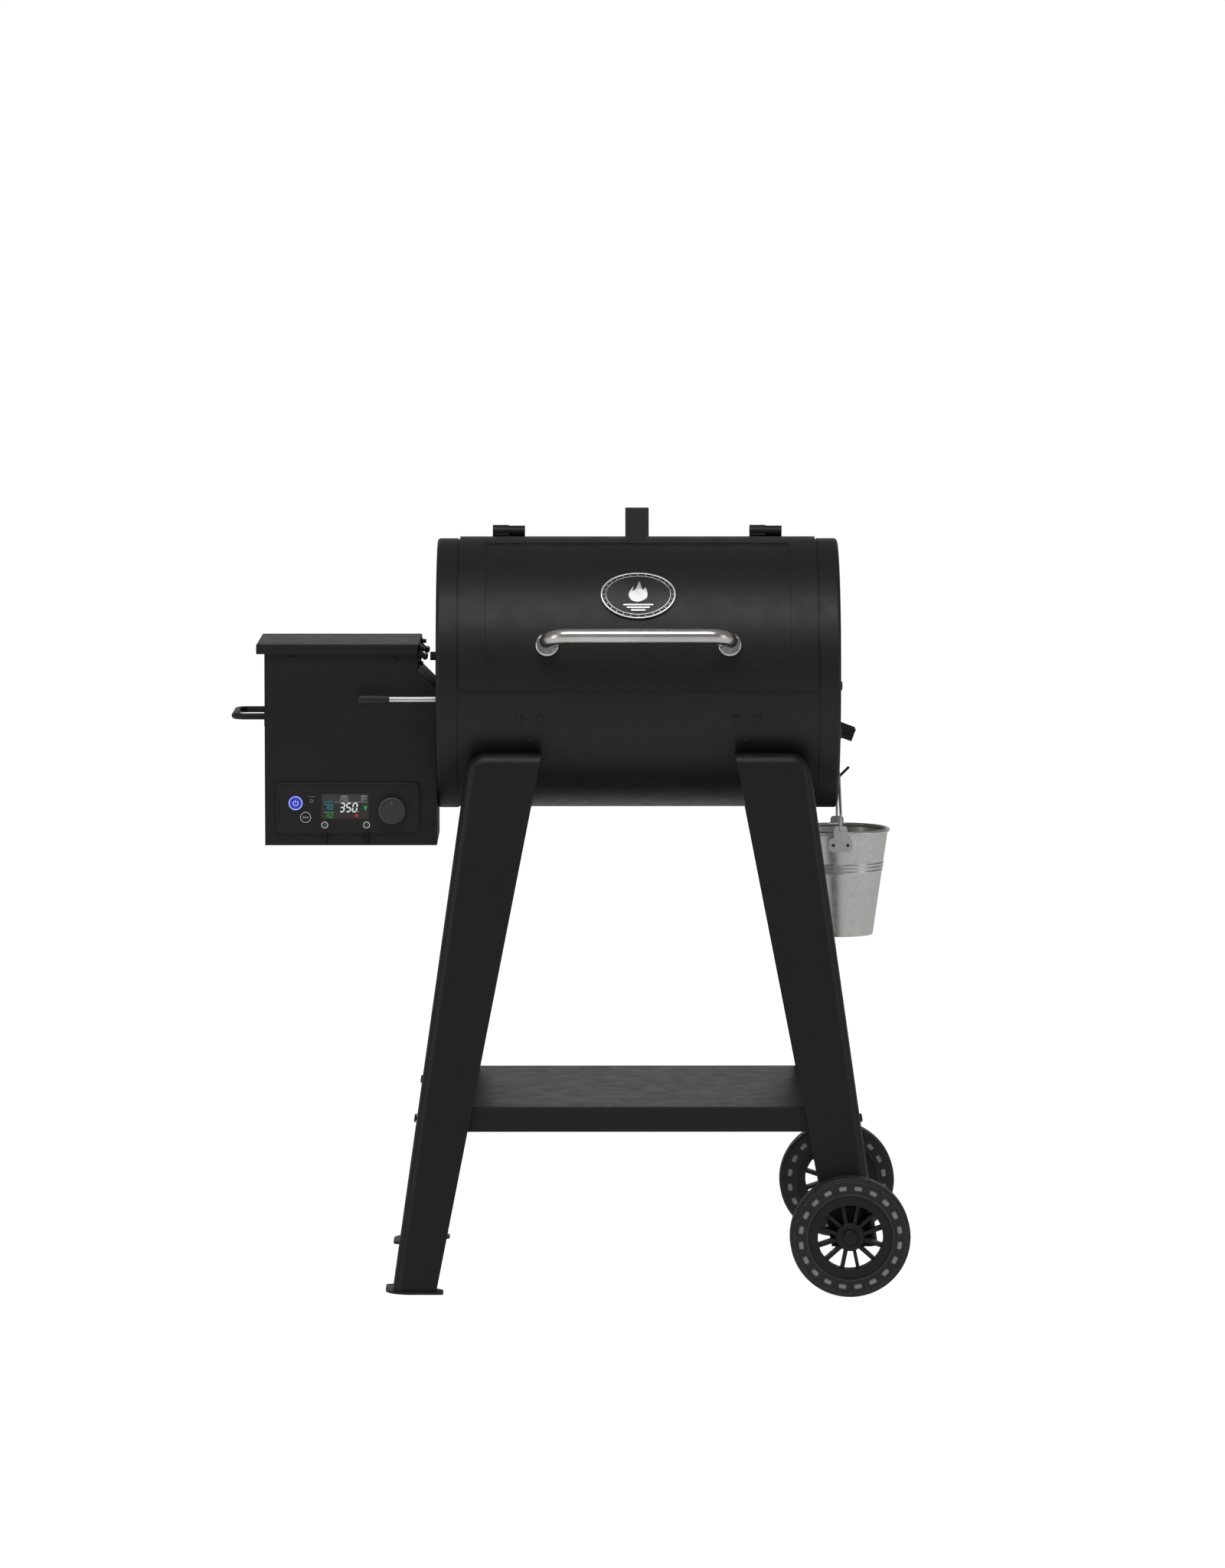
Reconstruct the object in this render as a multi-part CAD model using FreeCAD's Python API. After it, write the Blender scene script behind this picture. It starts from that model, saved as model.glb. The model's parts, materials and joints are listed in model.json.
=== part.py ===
import FreeCAD, Part
import math
import os

# Pellet smoker grill: a horizontal barrel on four folded legs, with a pellet hopper on its left end.
# Millimetres. +X runs to the right, +Y to the back, +Z up, and the floor is Z = 0.
# Shapes are drawn about the middle plane of the barrel. save() moves them by BARREL_X, so that
# the origin is on the floor under the middle of the whole grill.

V = FreeCAD.Vector
X_DIR = V(1, 0, 0)
Y_DIR = V(0, 1, 0)
Z_DIR = V(0, 0, 1)

# ---- driving dimensions -------------------------------------------------------------------
BARREL_X = 104.0          # barrel's middle plane in the finished frame
BARREL_Z = 901.0          # barrel axis above the floor
BARREL_R = 201.1          # outside of the barrel sheet
BARREL_HALF = 300.0       # outer face of each end cap
SHEET = 1.6               # barrel sheet
CAP_R = 202.5
CAP_BAND = 31.0           # width of the cap's skirt
CAP_ROUND = 5.0

LID_R = 205.3
LID_SHEET = 1.7
LID_HALF = 266.0
LID_FRONT = -2.5          # degrees above the horizontal, seen from the left end, front = 0
LID_BACK = 100.5
LID_RECESS = 1.4          # depth of the pressed panel in the lid
PANEL_HALF = 226.5
PANEL_LOW = 7.6
PANEL_HIGH = 75.5
OPENING_HALF = 252.0
OPENING_LOW = 4.0
OPENING_HIGH = 98.0

HINGE_Y = 45.0
HINGE_Z = 1112.0
HINGE_X = 193.5           # middle of each lid hinge
HINGE_W = 48.6
KNUCKLE_R = 9.2
FIXED_KNUCKLE_R = 8.2
LEAF_FRONT = 24.0         # front edge of the leaf on the lid's crown
PIN_R = 2.5
RUN_FIT = 0.05            # radial clearance of pins and shafts that turn

HANDLE_HALF = 135.0
HANDLE_ANGLE = 16.1
HANDLE_R = 11.2
HANDLE_REACH = 62.0       # tube centre from the lid's skin
HANDLE_BEND = 34.0
BEZEL_R = 18.0
BADGE_ANGLE = 38.8
BADGE_HALF_W = 56.0
BADGE_HALF_H = 42.0
STOP_HALF = 17.8          # half the width of the strap that stops the lid
STOP_TOP = 1144.5
STOP_LEAN_Y = 93.0

LEG_TOP_Z = 798.0
LEG_TOP_OUT = 252.0
LEG_TOP_IN = 143.0
LEG_SLOPE_OUT = 0.1413    # mm outwards for each mm down
LEG_SLOPE_IN = 0.1961
LEG_TOP_Y = 208.0
LEG_FOOT_Y = 269.0
LEG_DEPTH = 60.0
LEG_SHEET = 2.0
LEG_CORNER = 32.0
LEG_BEND = 18.0
RIGHT_LEG_END = 70.0
FOOT_T = 4.0

SHELF_TOP = 274.0
SHELF_LIP = 37.3
SHELF_HALF_X = 323.0
SHELF_HALF_Y = 232.0
SHELF_T = 1.5
SHELF_BOLT_Y = 214.0
SHELF_BOLT_Z = 255.0
SHELF_SHANK_R = 3.0

WHEEL_X = 312.2
WHEEL_R = 89.0
WHEEL_IN_Y = 267.0
WHEEL_OUT_Y = 303.0
WINDOWS = 20              # windows round the tyre
WINDOW_IN_R = 70.0
WINDOW_OUT_R = 76.8
WINDOW_W = 11.4
RIM_R = 62.0
SPOKE_OUT_R = 48.0
HUB_R = 21.0
AXLE_R = 6.35
AXLE_END_Y = 305.0        # outer face of the axle's end caps
AXLE_CAP_R = 11.0
SPACER_Y = 264.2          # inner end of the spacer behind each wheel

HOP_LEFT = -556.6
HOP_RIGHT = -300.0
HOP_FRONT = -112.0
HOP_BACK = 92.0
HOP_BOTTOM = 651.5
HOP_TOP = 939.0
HOP_SHEET = 1.5
HOP_NECK = -328.1         # right wall above the sloped shoulder
SHOULDER_LOW = 884.1
SHOULDER_HIGH = 912.2
HOP_LID_LEFT = -568.6
HOP_LID_RIGHT = -325.8
HOP_LID_FRONT = -120.0
HOP_LID_BACK = 100.0
HOP_LID_LOW = 938.2
HOP_LID_TOP = 953.0
HOP_HINGE_X = -317.5
HOP_HINGE_Z = 932.0
HOP_KNUCKLE_R = 4.2
HOP_RIVET_R = 3.2
HOP_RIVET_LONG = 7.3
HOP_PIN_R = 1.5
HOP_LEAF_W = 17.7

AUGER_Z = 735.0
AUGER_TUBE_R = 30.0
AUGER_R = 25.0
AUGER_SHAFT_R = 6.0
AUGER_PITCH = 50.0
FEED_LEFT = -470.0        # slot through which pellets drop into the auger tube
FEED_RIGHT = -410.0

GRATE_Z = 890.0
GRATE_T = 9.0
GRATE_HALF_Y = 186.0
GRATE_BARS = 10
RACK_Z = 985.0
TRAY_Z = 838.0
TRAY_SLOTS = 5
TRAY_SLOT_HALF = 25.0
LEVER_Y = -150.0
LEVER_Z = 873.2
LEVER_R = 4.6
LEVER_TRAVEL = 58.0
GRIP_LEFT = -417.8
GRIP_RIGHT = -369.5
FIRE_X = 12.0
FIRE_R = 52.0
FIRE_BASE_Z = 712.0
FIRE_TOP_Z = 790.0
IGNITER_Z = 726.0
IGNITER_R = 5.0
PROBE_Y = 60.0
PROBE_Z = 872.0
PROBE_R = 3.0
FAN_X = -362.0
FAN_Y = 36.0
FAN_Z = 700.0
FAN_R = 44.0
FAN_DEEP = 34.0
FAN_SHAFT_R = 3.0

BUCKET_X = 304.0
BUCKET_RIM_Z = 664.0
BUCKET_RIM_R = 77.0
BUCKET_BASE_R = 51.5
BUCKET_DEEP = 158.0
RIB_ZS = (604.2, 609.4, 614.6)
EAR_Z = 670.5             # hole that the bail hooks into
EAR_RIVET_Z = 647.6
EAR_GAP = 0.4
BAIL_R = 2.0
BAIL_BEND = 6.0           # bend at the peak of the bail
HOOK_R = 2.0
HOOK_Z = 739.5            # where the hook leaves the end cap

PANEL_X = -432.7          # middle of the control panel
PANEL_Z = 708.3
PANEL_W = 213.0
PANEL_H = 75.6
PANEL_T = 5.0
FACE_Y = HOP_FRONT - PANEL_T + 1.2   # sunk face inside the panel's raised border
KNOB_X = -366.8
KNOB_Z = 704.6
KNOB_R = 19.2
KNOB_SHAFT_R = 3.0
POWER_X = -510.6
POWER_Z = 715.1
POWER_R = 11.0
PRIME_X = -495.8
PRIME_Z = 693.9
PRIME_R = 9.0
BUTTON_GAP = 0.3
JACK_XS = (-467.3, -404.8)
JACK_Z = 682.4
JACK_BODY_R = 4.0
JACK_R = 1.8
JACK_DEEP = 12.0
DISPLAY_X = (-472.4, -401.7)
DISPLAY_Z = (691.5, 729.3)
DISPLAY_T = 2.5
INLET_X = -500.0
INLET_Z = 690.0


# ---- small makers -------------------------------------------------------------------------
def box(x, y, z):
    """A block from three (low, high) pairs."""
    return Part.makeBox(x[1] - x[0], y[1] - y[0], z[1] - z[0], V(x[0], y[0], z[0]))


def rod(start, direction, radius, length):
    return Part.makeCylinder(radius, length, start, direction)


def fuse(*shapes):
    whole = shapes[0]
    for shape in shapes[1:]:
        whole = whole.fuse(shape)
    return whole.removeSplitter()


def cut(shape, *tools):
    for tool in tools:
        shape = shape.cut(tool)
    return shape


def moved(shape, x=0.0, y=0.0, z=0.0):
    copy = shape.copy()
    copy.translate(V(x, y, z))
    return copy


def turned(shape, centre, axis, degrees):
    copy = shape.copy()
    copy.rotate(centre, axis, degrees)
    return copy


def mirrored_x(shape):
    return shape.mirror(V(0, 0, 0), X_DIR)


def mirrored_y(shape):
    return shape.mirror(V(0, 0, 0), Y_DIR)


def prism(points, depth):
    """A closed outline of points, pushed along the vector depth."""
    return Part.Face(Part.makePolygon(points + [points[0]])).extrude(depth)


def group(*shapes):
    """Separate solids that share one node."""
    solids = []
    for shape in shapes:
        solids.extend(shape.Solids)
    return Part.makeCompound(solids)


def on_barrel(radius, degrees, x=0.0):
    """A point at that radius from the barrel axis, degrees above the front horizontal."""
    a = math.radians(degrees)
    return V(x, -radius * math.cos(a), BARREL_Z + radius * math.sin(a))


def outwards(degrees):
    a = math.radians(degrees)
    return V(0, -math.cos(a), math.sin(a))


def sector(r_in, r_out, x_low, x_high, a_low, a_high):
    """Part of a ring about the barrel axis, between two angles above the front horizontal."""
    corners = [
        on_barrel(r_in, a_low, x_low),
        on_barrel(r_out, a_low, x_low),
        on_barrel(r_out, a_low, x_high),
        on_barrel(r_in, a_low, x_high),
    ]
    face = Part.Face(Part.makePolygon(corners + [corners[0]]))
    return face.revolve(V(0, 0, BARREL_Z), V(-1, 0, 0), a_high - a_low)


def barrel_round(radius, x_low, x_high):
    return rod(V(x_low, 0, BARREL_Z), X_DIR, radius, x_high - x_low)


def edges_where(shape, test):
    return [e for e in shape.Edges if test(e)]


def runs_along(edge, direction):
    if edge.Curve.TypeId != "Part::GeomLine":
        return False
    return abs(edge.tangentAt(edge.FirstParameter).dot(direction)) > 0.9999


def rounded_box(x, y, z, radius, direction):
    """A block whose four edges along direction are rounded."""
    block = box(x, y, z)
    return block.makeFillet(radius, edges_where(block, lambda e: runs_along(e, direction)))


def ring(centre, direction, r_out, r_in, length):
    return cut(rod(centre, direction, r_out, length), rod(centre, direction, r_in, length))


def bolt_head(point, direction, radius=6.0, height=2.6):
    """A round-edged bolt head that sits on point and faces along direction."""
    head = rod(point, direction, radius, height)
    rim = edges_where(head, lambda e: (e.CenterOfMass - point).dot(direction) > height * 0.9)
    return head.makeFillet(height * 0.7, rim)


def hex_head(point, direction, side, radius, height):
    """A six-sided bolt head; side points at one of its corners."""
    corners = [turned_vector(side * radius, direction, 60.0 * i) + point for i in range(6)]
    return prism(corners, direction * height)


def turned_vector(vector, axis, degrees):
    return FreeCAD.Rotation(axis, degrees).multVec(vector)


def swept(wire, radius, start, direction):
    """A round bar along a wire that starts at start and heads along direction."""
    profile = Part.Wire(Part.Circle(start, direction, radius).toShape())
    return Part.Wire(wire).makePipeShell([profile], True, True)


def bent_path(points, radii):
    """Straight runs joined by tangent arcs, one radius for each inner point."""
    edges = []
    last = points[0]
    for i in range(1, len(points) - 1):
        corner = points[i]
        back = (points[i - 1] - corner).normalize()
        ahead = (points[i + 1] - corner).normalize()
        half = math.acos(max(-1.0, min(1.0, back.dot(ahead)))) / 2
        trim = radii[i - 1] / math.tan(half)
        enter = corner + back * trim
        leave = corner + ahead * trim
        middle = (back + ahead).normalize()
        mid = corner + middle * (radii[i - 1] / math.sin(half) - radii[i - 1])
        edges.append(Part.LineSegment(last, enter).toShape())
        edges.append(Part.Arc(enter, mid, leave).toShape())
        last = leave
    edges.append(Part.LineSegment(last, points[-1]).toShape())
    return Part.Wire(edges)


# ---- barrel -------------------------------------------------------------------------------
def make_barrel():
    """Rolled sheet with the cooking opening, two welded grate ledges and three rear smoke slots."""
    half = BARREL_HALF - CAP_ROUND - 1.0
    inner = BARREL_R - SHEET
    shell = cut(barrel_round(BARREL_R, -half, half), barrel_round(inner, -half - 1, half + 1))
    opening = sector(inner - 12, BARREL_R + 12, -OPENING_HALF, OPENING_HALF, OPENING_LOW, OPENING_HIGH)
    shell = cut(shell, opening)
    for angle in (134, 142, 150):
        shell = cut(shell, sector(inner - 5, BARREL_R + 5, -90, 90, angle, angle + 4))
    ledge_z = GRATE_Z - 2.0
    ledges = box((-250, 250), (-inner, inner), (ledge_z, GRATE_Z))
    ledges = cut(ledges, box((-260, 260), (-178, 178), (ledge_z - 1, GRATE_Z + 1)))
    ledges = ledges.common(barrel_round(inner + SHEET / 2, -260, 260))
    return fuse(shell, ledges)


def cap_blank():
    """Dished end cap of the right end: a disc with a rounded rim and a skirt over the barrel."""
    inside = BARREL_HALF - CAP_BAND
    outer = barrel_round(CAP_R, inside, BARREL_HALF)
    rim = edges_where(outer, lambda e: abs(e.CenterOfMass.x - BARREL_HALF) < 0.01 and e.Length > 100)
    outer = outer.makeFillet(CAP_ROUND, rim)
    hollow = barrel_round(BARREL_R + 0.1, inside - 20, BARREL_HALF - SHEET)
    end = edges_where(hollow, lambda e: abs(e.CenterOfMass.x - BARREL_HALF + SHEET) < 0.01 and e.Length > 100)
    hollow = hollow.makeFillet(CAP_ROUND - SHEET, end)
    return cut(outer, hollow)


def spout_frame(shape):
    """Tips a level spout down towards the bucket, about the point where it meets the trough."""
    return turned(shape, V(262, 0, 821), Y_DIR, 20.7)


def make_right_cap():
    slot = spout_frame(box((270, 330), (-18, 18), (820, 842.5)))
    hook_hole = rod(V(BARREL_HALF - 10, 0, HOOK_Z - 10), hook_direction(), HOOK_R, 30)
    return cut(cap_blank(), slot, hook_hole)


def make_left_cap():
    cap = mirrored_x(cap_blank())
    tube_hole = rod(V(-320, 0, AUGER_Z), X_DIR, AUGER_TUBE_R, 60)
    lever_hole = rod(V(-320, LEVER_Y, LEVER_Z), X_DIR, LEVER_R + RUN_FIT, 60)
    probe_hole = rod(V(-320, PROBE_Y, PROBE_Z), X_DIR, PROBE_R, 60)
    return cut(cap, tube_hole, lever_hole, probe_hole)


# ---- lid ----------------------------------------------------------------------------------
def make_lid():
    """Curved sheet with a hemmed front edge and a shallow pressed panel."""
    inner = LID_R - LID_SHEET
    skin = sector(inner, LID_R, -LID_HALF, LID_HALF, LID_FRONT, LID_BACK)
    hem = sector(inner - 1.2, LID_R, -LID_HALF, LID_HALF, LID_FRONT, LID_FRONT + 2)
    outside = sector(LID_R - LID_RECESS, LID_R + 5, -PANEL_HALF, PANEL_HALF, PANEL_LOW, PANEL_HIGH)
    flange = LID_SHEET
    angle = math.degrees(flange / LID_R)
    backing = sector(
        inner - LID_RECESS, inner + 0.1, -PANEL_HALF - flange, PANEL_HALF + flange,
        PANEL_LOW - angle, PANEL_HIGH + angle)
    return cut(fuse(skin, hem, backing), outside)


def on_panel(degrees, x):
    return on_barrel(LID_R - LID_RECESS, degrees, x)


def make_handle():
    """Bent steel tube that stands on the pressed panel."""
    out = outwards(HANDLE_ANGLE)
    left = on_panel(HANDLE_ANGLE, -HANDLE_HALF) - out * 4
    right = on_panel(HANDLE_ANGLE, HANDLE_HALF) - out * 4
    reach = out * (HANDLE_REACH + 4)
    path = bent_path([left, left + reach, right + reach, right], [HANDLE_BEND, HANDLE_BEND])
    tube = swept(path, HANDLE_R, left, out)
    return cut(tube, barrel_round(LID_R - LID_RECESS, -200, 200))


def make_handle_bezels():
    """Two chromed cups around the handle's feet."""
    out = outwards(HANDLE_ANGLE)
    cups = []
    for x in (-HANDLE_HALF, HANDLE_HALF):
        foot = on_panel(HANDLE_ANGLE, x)
        cup = rod(foot - out * 4, out, BEZEL_R, 10)
        top = edges_where(cup, lambda e: e.Length > 100 and (e.CenterOfMass - foot).dot(out) > 3)
        cup = cup.makeFillet(4.0, top)
        cup = cut(cup, barrel_round(LID_R - LID_RECESS, -200, 200))
        cups.append(cut(cup, rod(foot - out * 9, out, HANDLE_R, 30)))
    return group(*cups)


def make_badge():
    """Plain oval medallion, curved to the lid."""
    out = outwards(BADGE_ANGLE)
    up = V(0, math.sin(math.radians(BADGE_ANGLE)), math.cos(math.radians(BADGE_ANGLE)))
    centre = on_barrel(LID_R - 20, BADGE_ANGLE)
    oval = Part.Ellipse(centre + X_DIR * BADGE_HALF_W, centre + up * BADGE_HALF_H, centre)
    disc = Part.Face(Part.Wire(oval.toShape())).extrude(out * 40)
    skin = LID_R - LID_RECESS
    return disc.common(sector(skin, skin + 2.6, -80, 80, PANEL_LOW, PANEL_HIGH))


def hinge_axis_point(x):
    return V(x, HINGE_Y, HINGE_Z)


def make_lid_leaves():
    """The moving half of each lid hinge: a flat leaf on the lid's crown and its knuckle."""
    leaves = []
    crown = BARREL_Z + LID_R
    for left in (-HINGE_X - HINGE_W / 2, HINGE_X - HINGE_W / 2):
        span = (left, left + HINGE_W / 2 - RUN_FIT)
        plate = box(span, (LEAF_FRONT, HINGE_Y), (crown, crown + 2.2))
        knuckle = rod(hinge_axis_point(span[0]), X_DIR, KNUCKLE_R, span[1] - span[0])
        leaf = cut(fuse(plate, knuckle), rod(hinge_axis_point(span[0] - 5), X_DIR, PIN_R + RUN_FIT, 60))
        leaves.append(leaf)
    return group(*leaves)


def make_hinge_mounts():
    """The fixed half of each lid hinge, welded to the barrel behind the lid, with its pin."""
    pieces = []
    tangent = 115.0
    for left in (-HINGE_X - HINGE_W / 2, HINGE_X - HINGE_W / 2):
        span = (left + HINGE_W / 2 + RUN_FIT, left + HINGE_W)
        base = on_barrel(BARREL_R, tangent, span[0])
        out = outwards(tangent)
        along = V(0, math.sin(math.radians(tangent)), math.cos(math.radians(tangent)))
        start = base + along * -46
        plate = prism(
            [start, start + out * 2.4, start + out * 2.4 + along * 58, start + along * 58],
            X_DIR * (span[1] - span[0]))
        knuckle = rod(hinge_axis_point(span[0]), X_DIR, FIXED_KNUCKLE_R, span[1] - span[0])
        mount = cut(fuse(plate, knuckle), rod(hinge_axis_point(span[0] - 5), X_DIR, PIN_R, 60))
        pieces.append(mount)
        pin = rod(hinge_axis_point(left), X_DIR, PIN_R, HINGE_W)
        pieces.append(pin)
    return group(*pieces)


def make_lid_stop():
    """Strap on the barrel's back that the open lid leans against."""
    t = 3.0
    low = V(-STOP_HALF, 150, BARREL_Z + 118)
    knee = V(-STOP_HALF, 76, BARREL_Z + 191)
    top = V(-STOP_HALF, STOP_LEAN_Y, STOP_TOP - 0.4)
    wide = X_DIR * (2 * STOP_HALF)
    foot = prism([low, knee, knee + V(0, t, t * 1.2), low + V(0, t, t)], wide)
    upright = prism([knee, top, top + V(0, t, 0.4), knee + V(0, t, t * 1.2)], wide)
    return cut(fuse(foot, upright), barrel_round(BARREL_R, -60, 60))


# ---- legs, shelf and wheels ---------------------------------------------------------------
def leg_block(inset):
    """Solid of a left front leg, made smaller by inset on its front, outer and top sides."""
    low_z = -80.0
    drop = LEG_TOP_Z - low_z
    out_x = -LEG_TOP_OUT + inset
    in_x = -LEG_TOP_IN + (40 if inset else 0)
    top = LEG_TOP_Z - inset
    front = -LEG_TOP_Y + inset
    corners = [
        V(out_x, front, top),
        V(in_x, front, top),
        V(in_x - LEG_SLOPE_IN * drop, front, low_z - inset),
        V(out_x - LEG_SLOPE_OUT * drop, front, low_z - inset),
    ]
    depth = LEG_DEPTH + (20 if inset else 0)
    block = prism(corners, V(0, depth, 0))
    corner = edges_where(
        block,
        lambda e: runs_along(e, Y_DIR) and (e.CenterOfMass - corners[0]).Length < depth)
    block = block.makeFillet(LEG_CORNER - inset, corner)
    chain = edges_where(
        block,
        lambda e: abs(e.CenterOfMass.y - front) < 0.01
        and e.CenterOfMass.z > low_z + 50
        and e.CenterOfMass.x < (corners[0].x + corners[1].x) / 2 + 60
        and not is_inner_edge(e, corners))
    return block.makeFillet(LEG_BEND - inset, chain)


def is_inner_edge(edge, corners):
    along = (corners[1] - corners[2]).normalize()
    return runs_along(edge, along)


def make_left_leg():
    leg = cut(leg_block(0.0), leg_block(LEG_SHEET))
    splay = math.degrees(math.atan2(LEG_FOOT_Y - LEG_TOP_Y, LEG_TOP_Z - 8.0))
    leg = turned(leg, V(0, -LEG_TOP_Y, LEG_TOP_Z), X_DIR, -splay)
    return cut(leg, barrel_round(BARREL_R, -400, 400))


def leg_above(leg, z):
    return cut(leg, box((-600, 600), (-600, 600), (z - 300, z)))


def make_foot_plate():
    """Flat plate under a left front leg: rounded outer corner, inner back corner cut away."""
    outer = -375.0
    inner = -289.0
    front = -277.6
    back = -197.0
    outline = [
        V(outer, front, 0),
        V(inner, front, 0),
        V(inner, front + 24, 0),
        V(inner - 48, back, 0),
        V(outer, back, 0),
    ]
    plate = prism(outline, V(0, 0, FOOT_T))
    rounds = {0: 38.0, 1: 4.0, 2: 8.0, 4: 10.0}
    for i, radius in rounds.items():
        edge = edges_where(
            plate,
            lambda e: runs_along(e, Z_DIR)
            and abs(e.CenterOfMass.x - outline[i].x) < 0.01
            and abs(e.CenterOfMass.y - outline[i].y) < 0.01)
        plate = plate.makeFillet(radius, edge)
    return plate


def make_shelf():
    """Pressed tray: flat top with lips turned down on all four sides."""
    x = (-SHELF_HALF_X, SHELF_HALF_X)
    y = (-SHELF_HALF_Y, SHELF_HALF_Y)
    outer = box(x, y, (SHELF_TOP - SHELF_LIP, SHELF_TOP))
    top = edges_where(outer, lambda e: abs(e.CenterOfMass.z - SHELF_TOP) < 0.01)
    outer = outer.makeFillet(3.0, top)
    inner = box(
        (x[0] + SHELF_T, x[1] - SHELF_T), (y[0] + SHELF_T, y[1] - SHELF_T),
        (SHELF_TOP - SHELF_LIP - 1, SHELF_TOP - SHELF_T))
    top = edges_where(inner, lambda e: abs(e.CenterOfMass.z - SHELF_TOP + SHELF_T) < 0.01)
    return cut(outer, inner.makeFillet(1.5, top))


def leg_outer_x(z):
    return LEG_TOP_OUT + LEG_SLOPE_OUT * (LEG_TOP_Z - z)


def make_shelf_bolts():
    """A bolt through each leg's outer flange into the shelf's end lip."""
    bolts = []
    skin = leg_outer_x(SHELF_BOLT_Z)
    tilt = V(1, 0, LEG_SLOPE_OUT).normalize()
    for side in (-1, 1):
        for y in (-SHELF_BOLT_Y, SHELF_BOLT_Y):
            out = V(side * tilt.x, 0, tilt.z)
            centre = V(side * skin, y, SHELF_BOLT_Z)
            head = bolt_head(centre + out * 0.4, out, 6.5, 3.4)
            shank = rod(centre + out, out * -1, SHELF_SHANK_R, skin - SHELF_HALF_X + 8)
            bolts.append(fuse(head, shank))
    return bolts


def make_wheel_rim():
    """Moulded rim: hub, six pairs of spokes and the ring that carries the tyre."""
    centre = V(WHEEL_X, -WHEEL_IN_Y - 2, WHEEL_R)
    out = V(0, -1, 0)
    ring_w = 32.0
    outer = ring(centre, out, RIM_R, SPOKE_OUT_R + 1.5, ring_w)
    face = ring(centre + out * (ring_w - 4), out, RIM_R - 2, SPOKE_OUT_R, 4)
    hub = rod(V(WHEEL_X, -WHEEL_IN_Y, WHEEL_R), out, HUB_R, 31.5)
    front = edges_where(hub, lambda e: e.CenterOfMass.y < -WHEEL_IN_Y - 31 and e.Length > 50)
    hub = hub.makeFillet(3.0, front)
    pieces = [outer, face, hub]
    for pair in range(6):
        for side in (-1, 1):
            spoke = box(
                (WHEEL_X - 2.6, WHEEL_X + 2.6), (-WHEEL_IN_Y - 28, -WHEEL_IN_Y - 6),
                (WHEEL_R + HUB_R - 6, WHEEL_R + SPOKE_OUT_R + 4))
            lean_point = V(WHEEL_X, 0, WHEEL_R + HUB_R - 6)
            spoke = turned(spoke, lean_point, Y_DIR, side * 8.0)
            spoke = turned(spoke, V(WHEEL_X, 0, WHEEL_R), Y_DIR, 60 * pair + 30 + side * 10.5)
            pieces.append(spoke)
    rim = fuse(*pieces)
    return cut(rim, rod(centre - out * 10, out, AXLE_R + RUN_FIT, 80))


def make_tyre():
    """Solid tyre with rounded shoulders, a ring of windows and short slits across each shoulder."""
    wide = WHEEL_OUT_Y - WHEEL_IN_Y
    start = V(WHEEL_X, -WHEEL_IN_Y, WHEEL_R)
    out = V(0, -1, 0)
    tyre = rod(start, out, WHEEL_R, wide)
    shoulders = edges_where(tyre, lambda e: e.Length > 100)
    tyre = tyre.makeFillet(5.0, shoulders)
    tyre = cut(tyre, rod(start - out, out, RIM_R, wide + 2))
    for i in range(WINDOWS):
        angle = 360.0 * i / WINDOWS
        window = rounded_box(
            (WHEEL_X - WINDOW_W / 2, WHEEL_X + WINDOW_W / 2), (-WHEEL_OUT_Y - 1, -WHEEL_IN_Y + 1),
            (WHEEL_R + WINDOW_IN_R, WHEEL_R + WINDOW_OUT_R), 1.2, Y_DIR)
        window = turned(window, V(WHEEL_X, 0, WHEEL_R), Y_DIR, angle + 180.0 / WINDOWS)
        tyre = cut(tyre, window)
        for y in (-WHEEL_OUT_Y, -WHEEL_IN_Y):
            slit = box((WHEEL_X - 0.7, WHEEL_X + 0.7), (y - 5, y + 5), (WHEEL_R * 2 - 3.2, WHEEL_R * 2 + 4))
            tyre = cut(tyre, turned(slit, V(WHEEL_X, 0, WHEEL_R), Y_DIR, angle))
    return tyre


def make_axle():
    """Axle rod through both right legs, with a spacer inside each wheel and a cap outside."""
    end = AXLE_END_Y - 4.0
    pieces = [rod(V(WHEEL_X, -end, WHEEL_R), Y_DIR, AXLE_R, 2 * end)]
    for side in (-1, 1):
        out = V(0, side, 0)
        spacer = V(WHEEL_X, side * SPACER_Y, WHEEL_R)
        pieces.append(ring(spacer, out, AXLE_CAP_R, AXLE_R, WHEEL_IN_Y - SPACER_Y - 0.4))
        cap_y = WHEEL_IN_Y + 31.9
        cap = rod(V(WHEEL_X, side * cap_y, WHEEL_R), out, AXLE_CAP_R, AXLE_END_Y - cap_y)
        outer = edges_where(cap, lambda e: abs(abs(e.CenterOfMass.y) - AXLE_END_Y) < 0.01)
        cap = cap.makeFillet(3.0, outer)
        pieces.append(cut(cap, pieces[0]))
    return group(*pieces)


def axle_hole():
    return rod(V(WHEEL_X, -320, WHEEL_R), Y_DIR, AXLE_R, 640)


# ---- inside the barrel --------------------------------------------------------------------
def make_grate(x_low, x_high):
    """Cast cooking grid: a frame, two cross bars and bars from front to back."""
    y = (-GRATE_HALF_Y, GRATE_HALF_Y)
    z = (GRATE_Z, GRATE_Z + GRATE_T)
    middle = box((x_low + 8, x_high - 8), (y[0] + 8, y[1] - 8), (z[0] - 1, z[1] + 1))
    frame = cut(box((x_low, x_high), y, z), middle)
    pieces = [frame]
    for cross in (-62, 62):
        pieces.append(box((x_low + 7, x_high - 7), (cross - 4, cross + 4), (GRATE_Z, GRATE_Z + 5)))
    pitch = (x_high - x_low - 8) / (GRATE_BARS + 1)
    for i in range(GRATE_BARS):
        x = x_low + 4 + pitch * (i + 1)
        pieces.append(box((x - 3, x + 3), (y[0] + 7, y[1] - 7), z))
    return fuse(*pieces)


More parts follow.
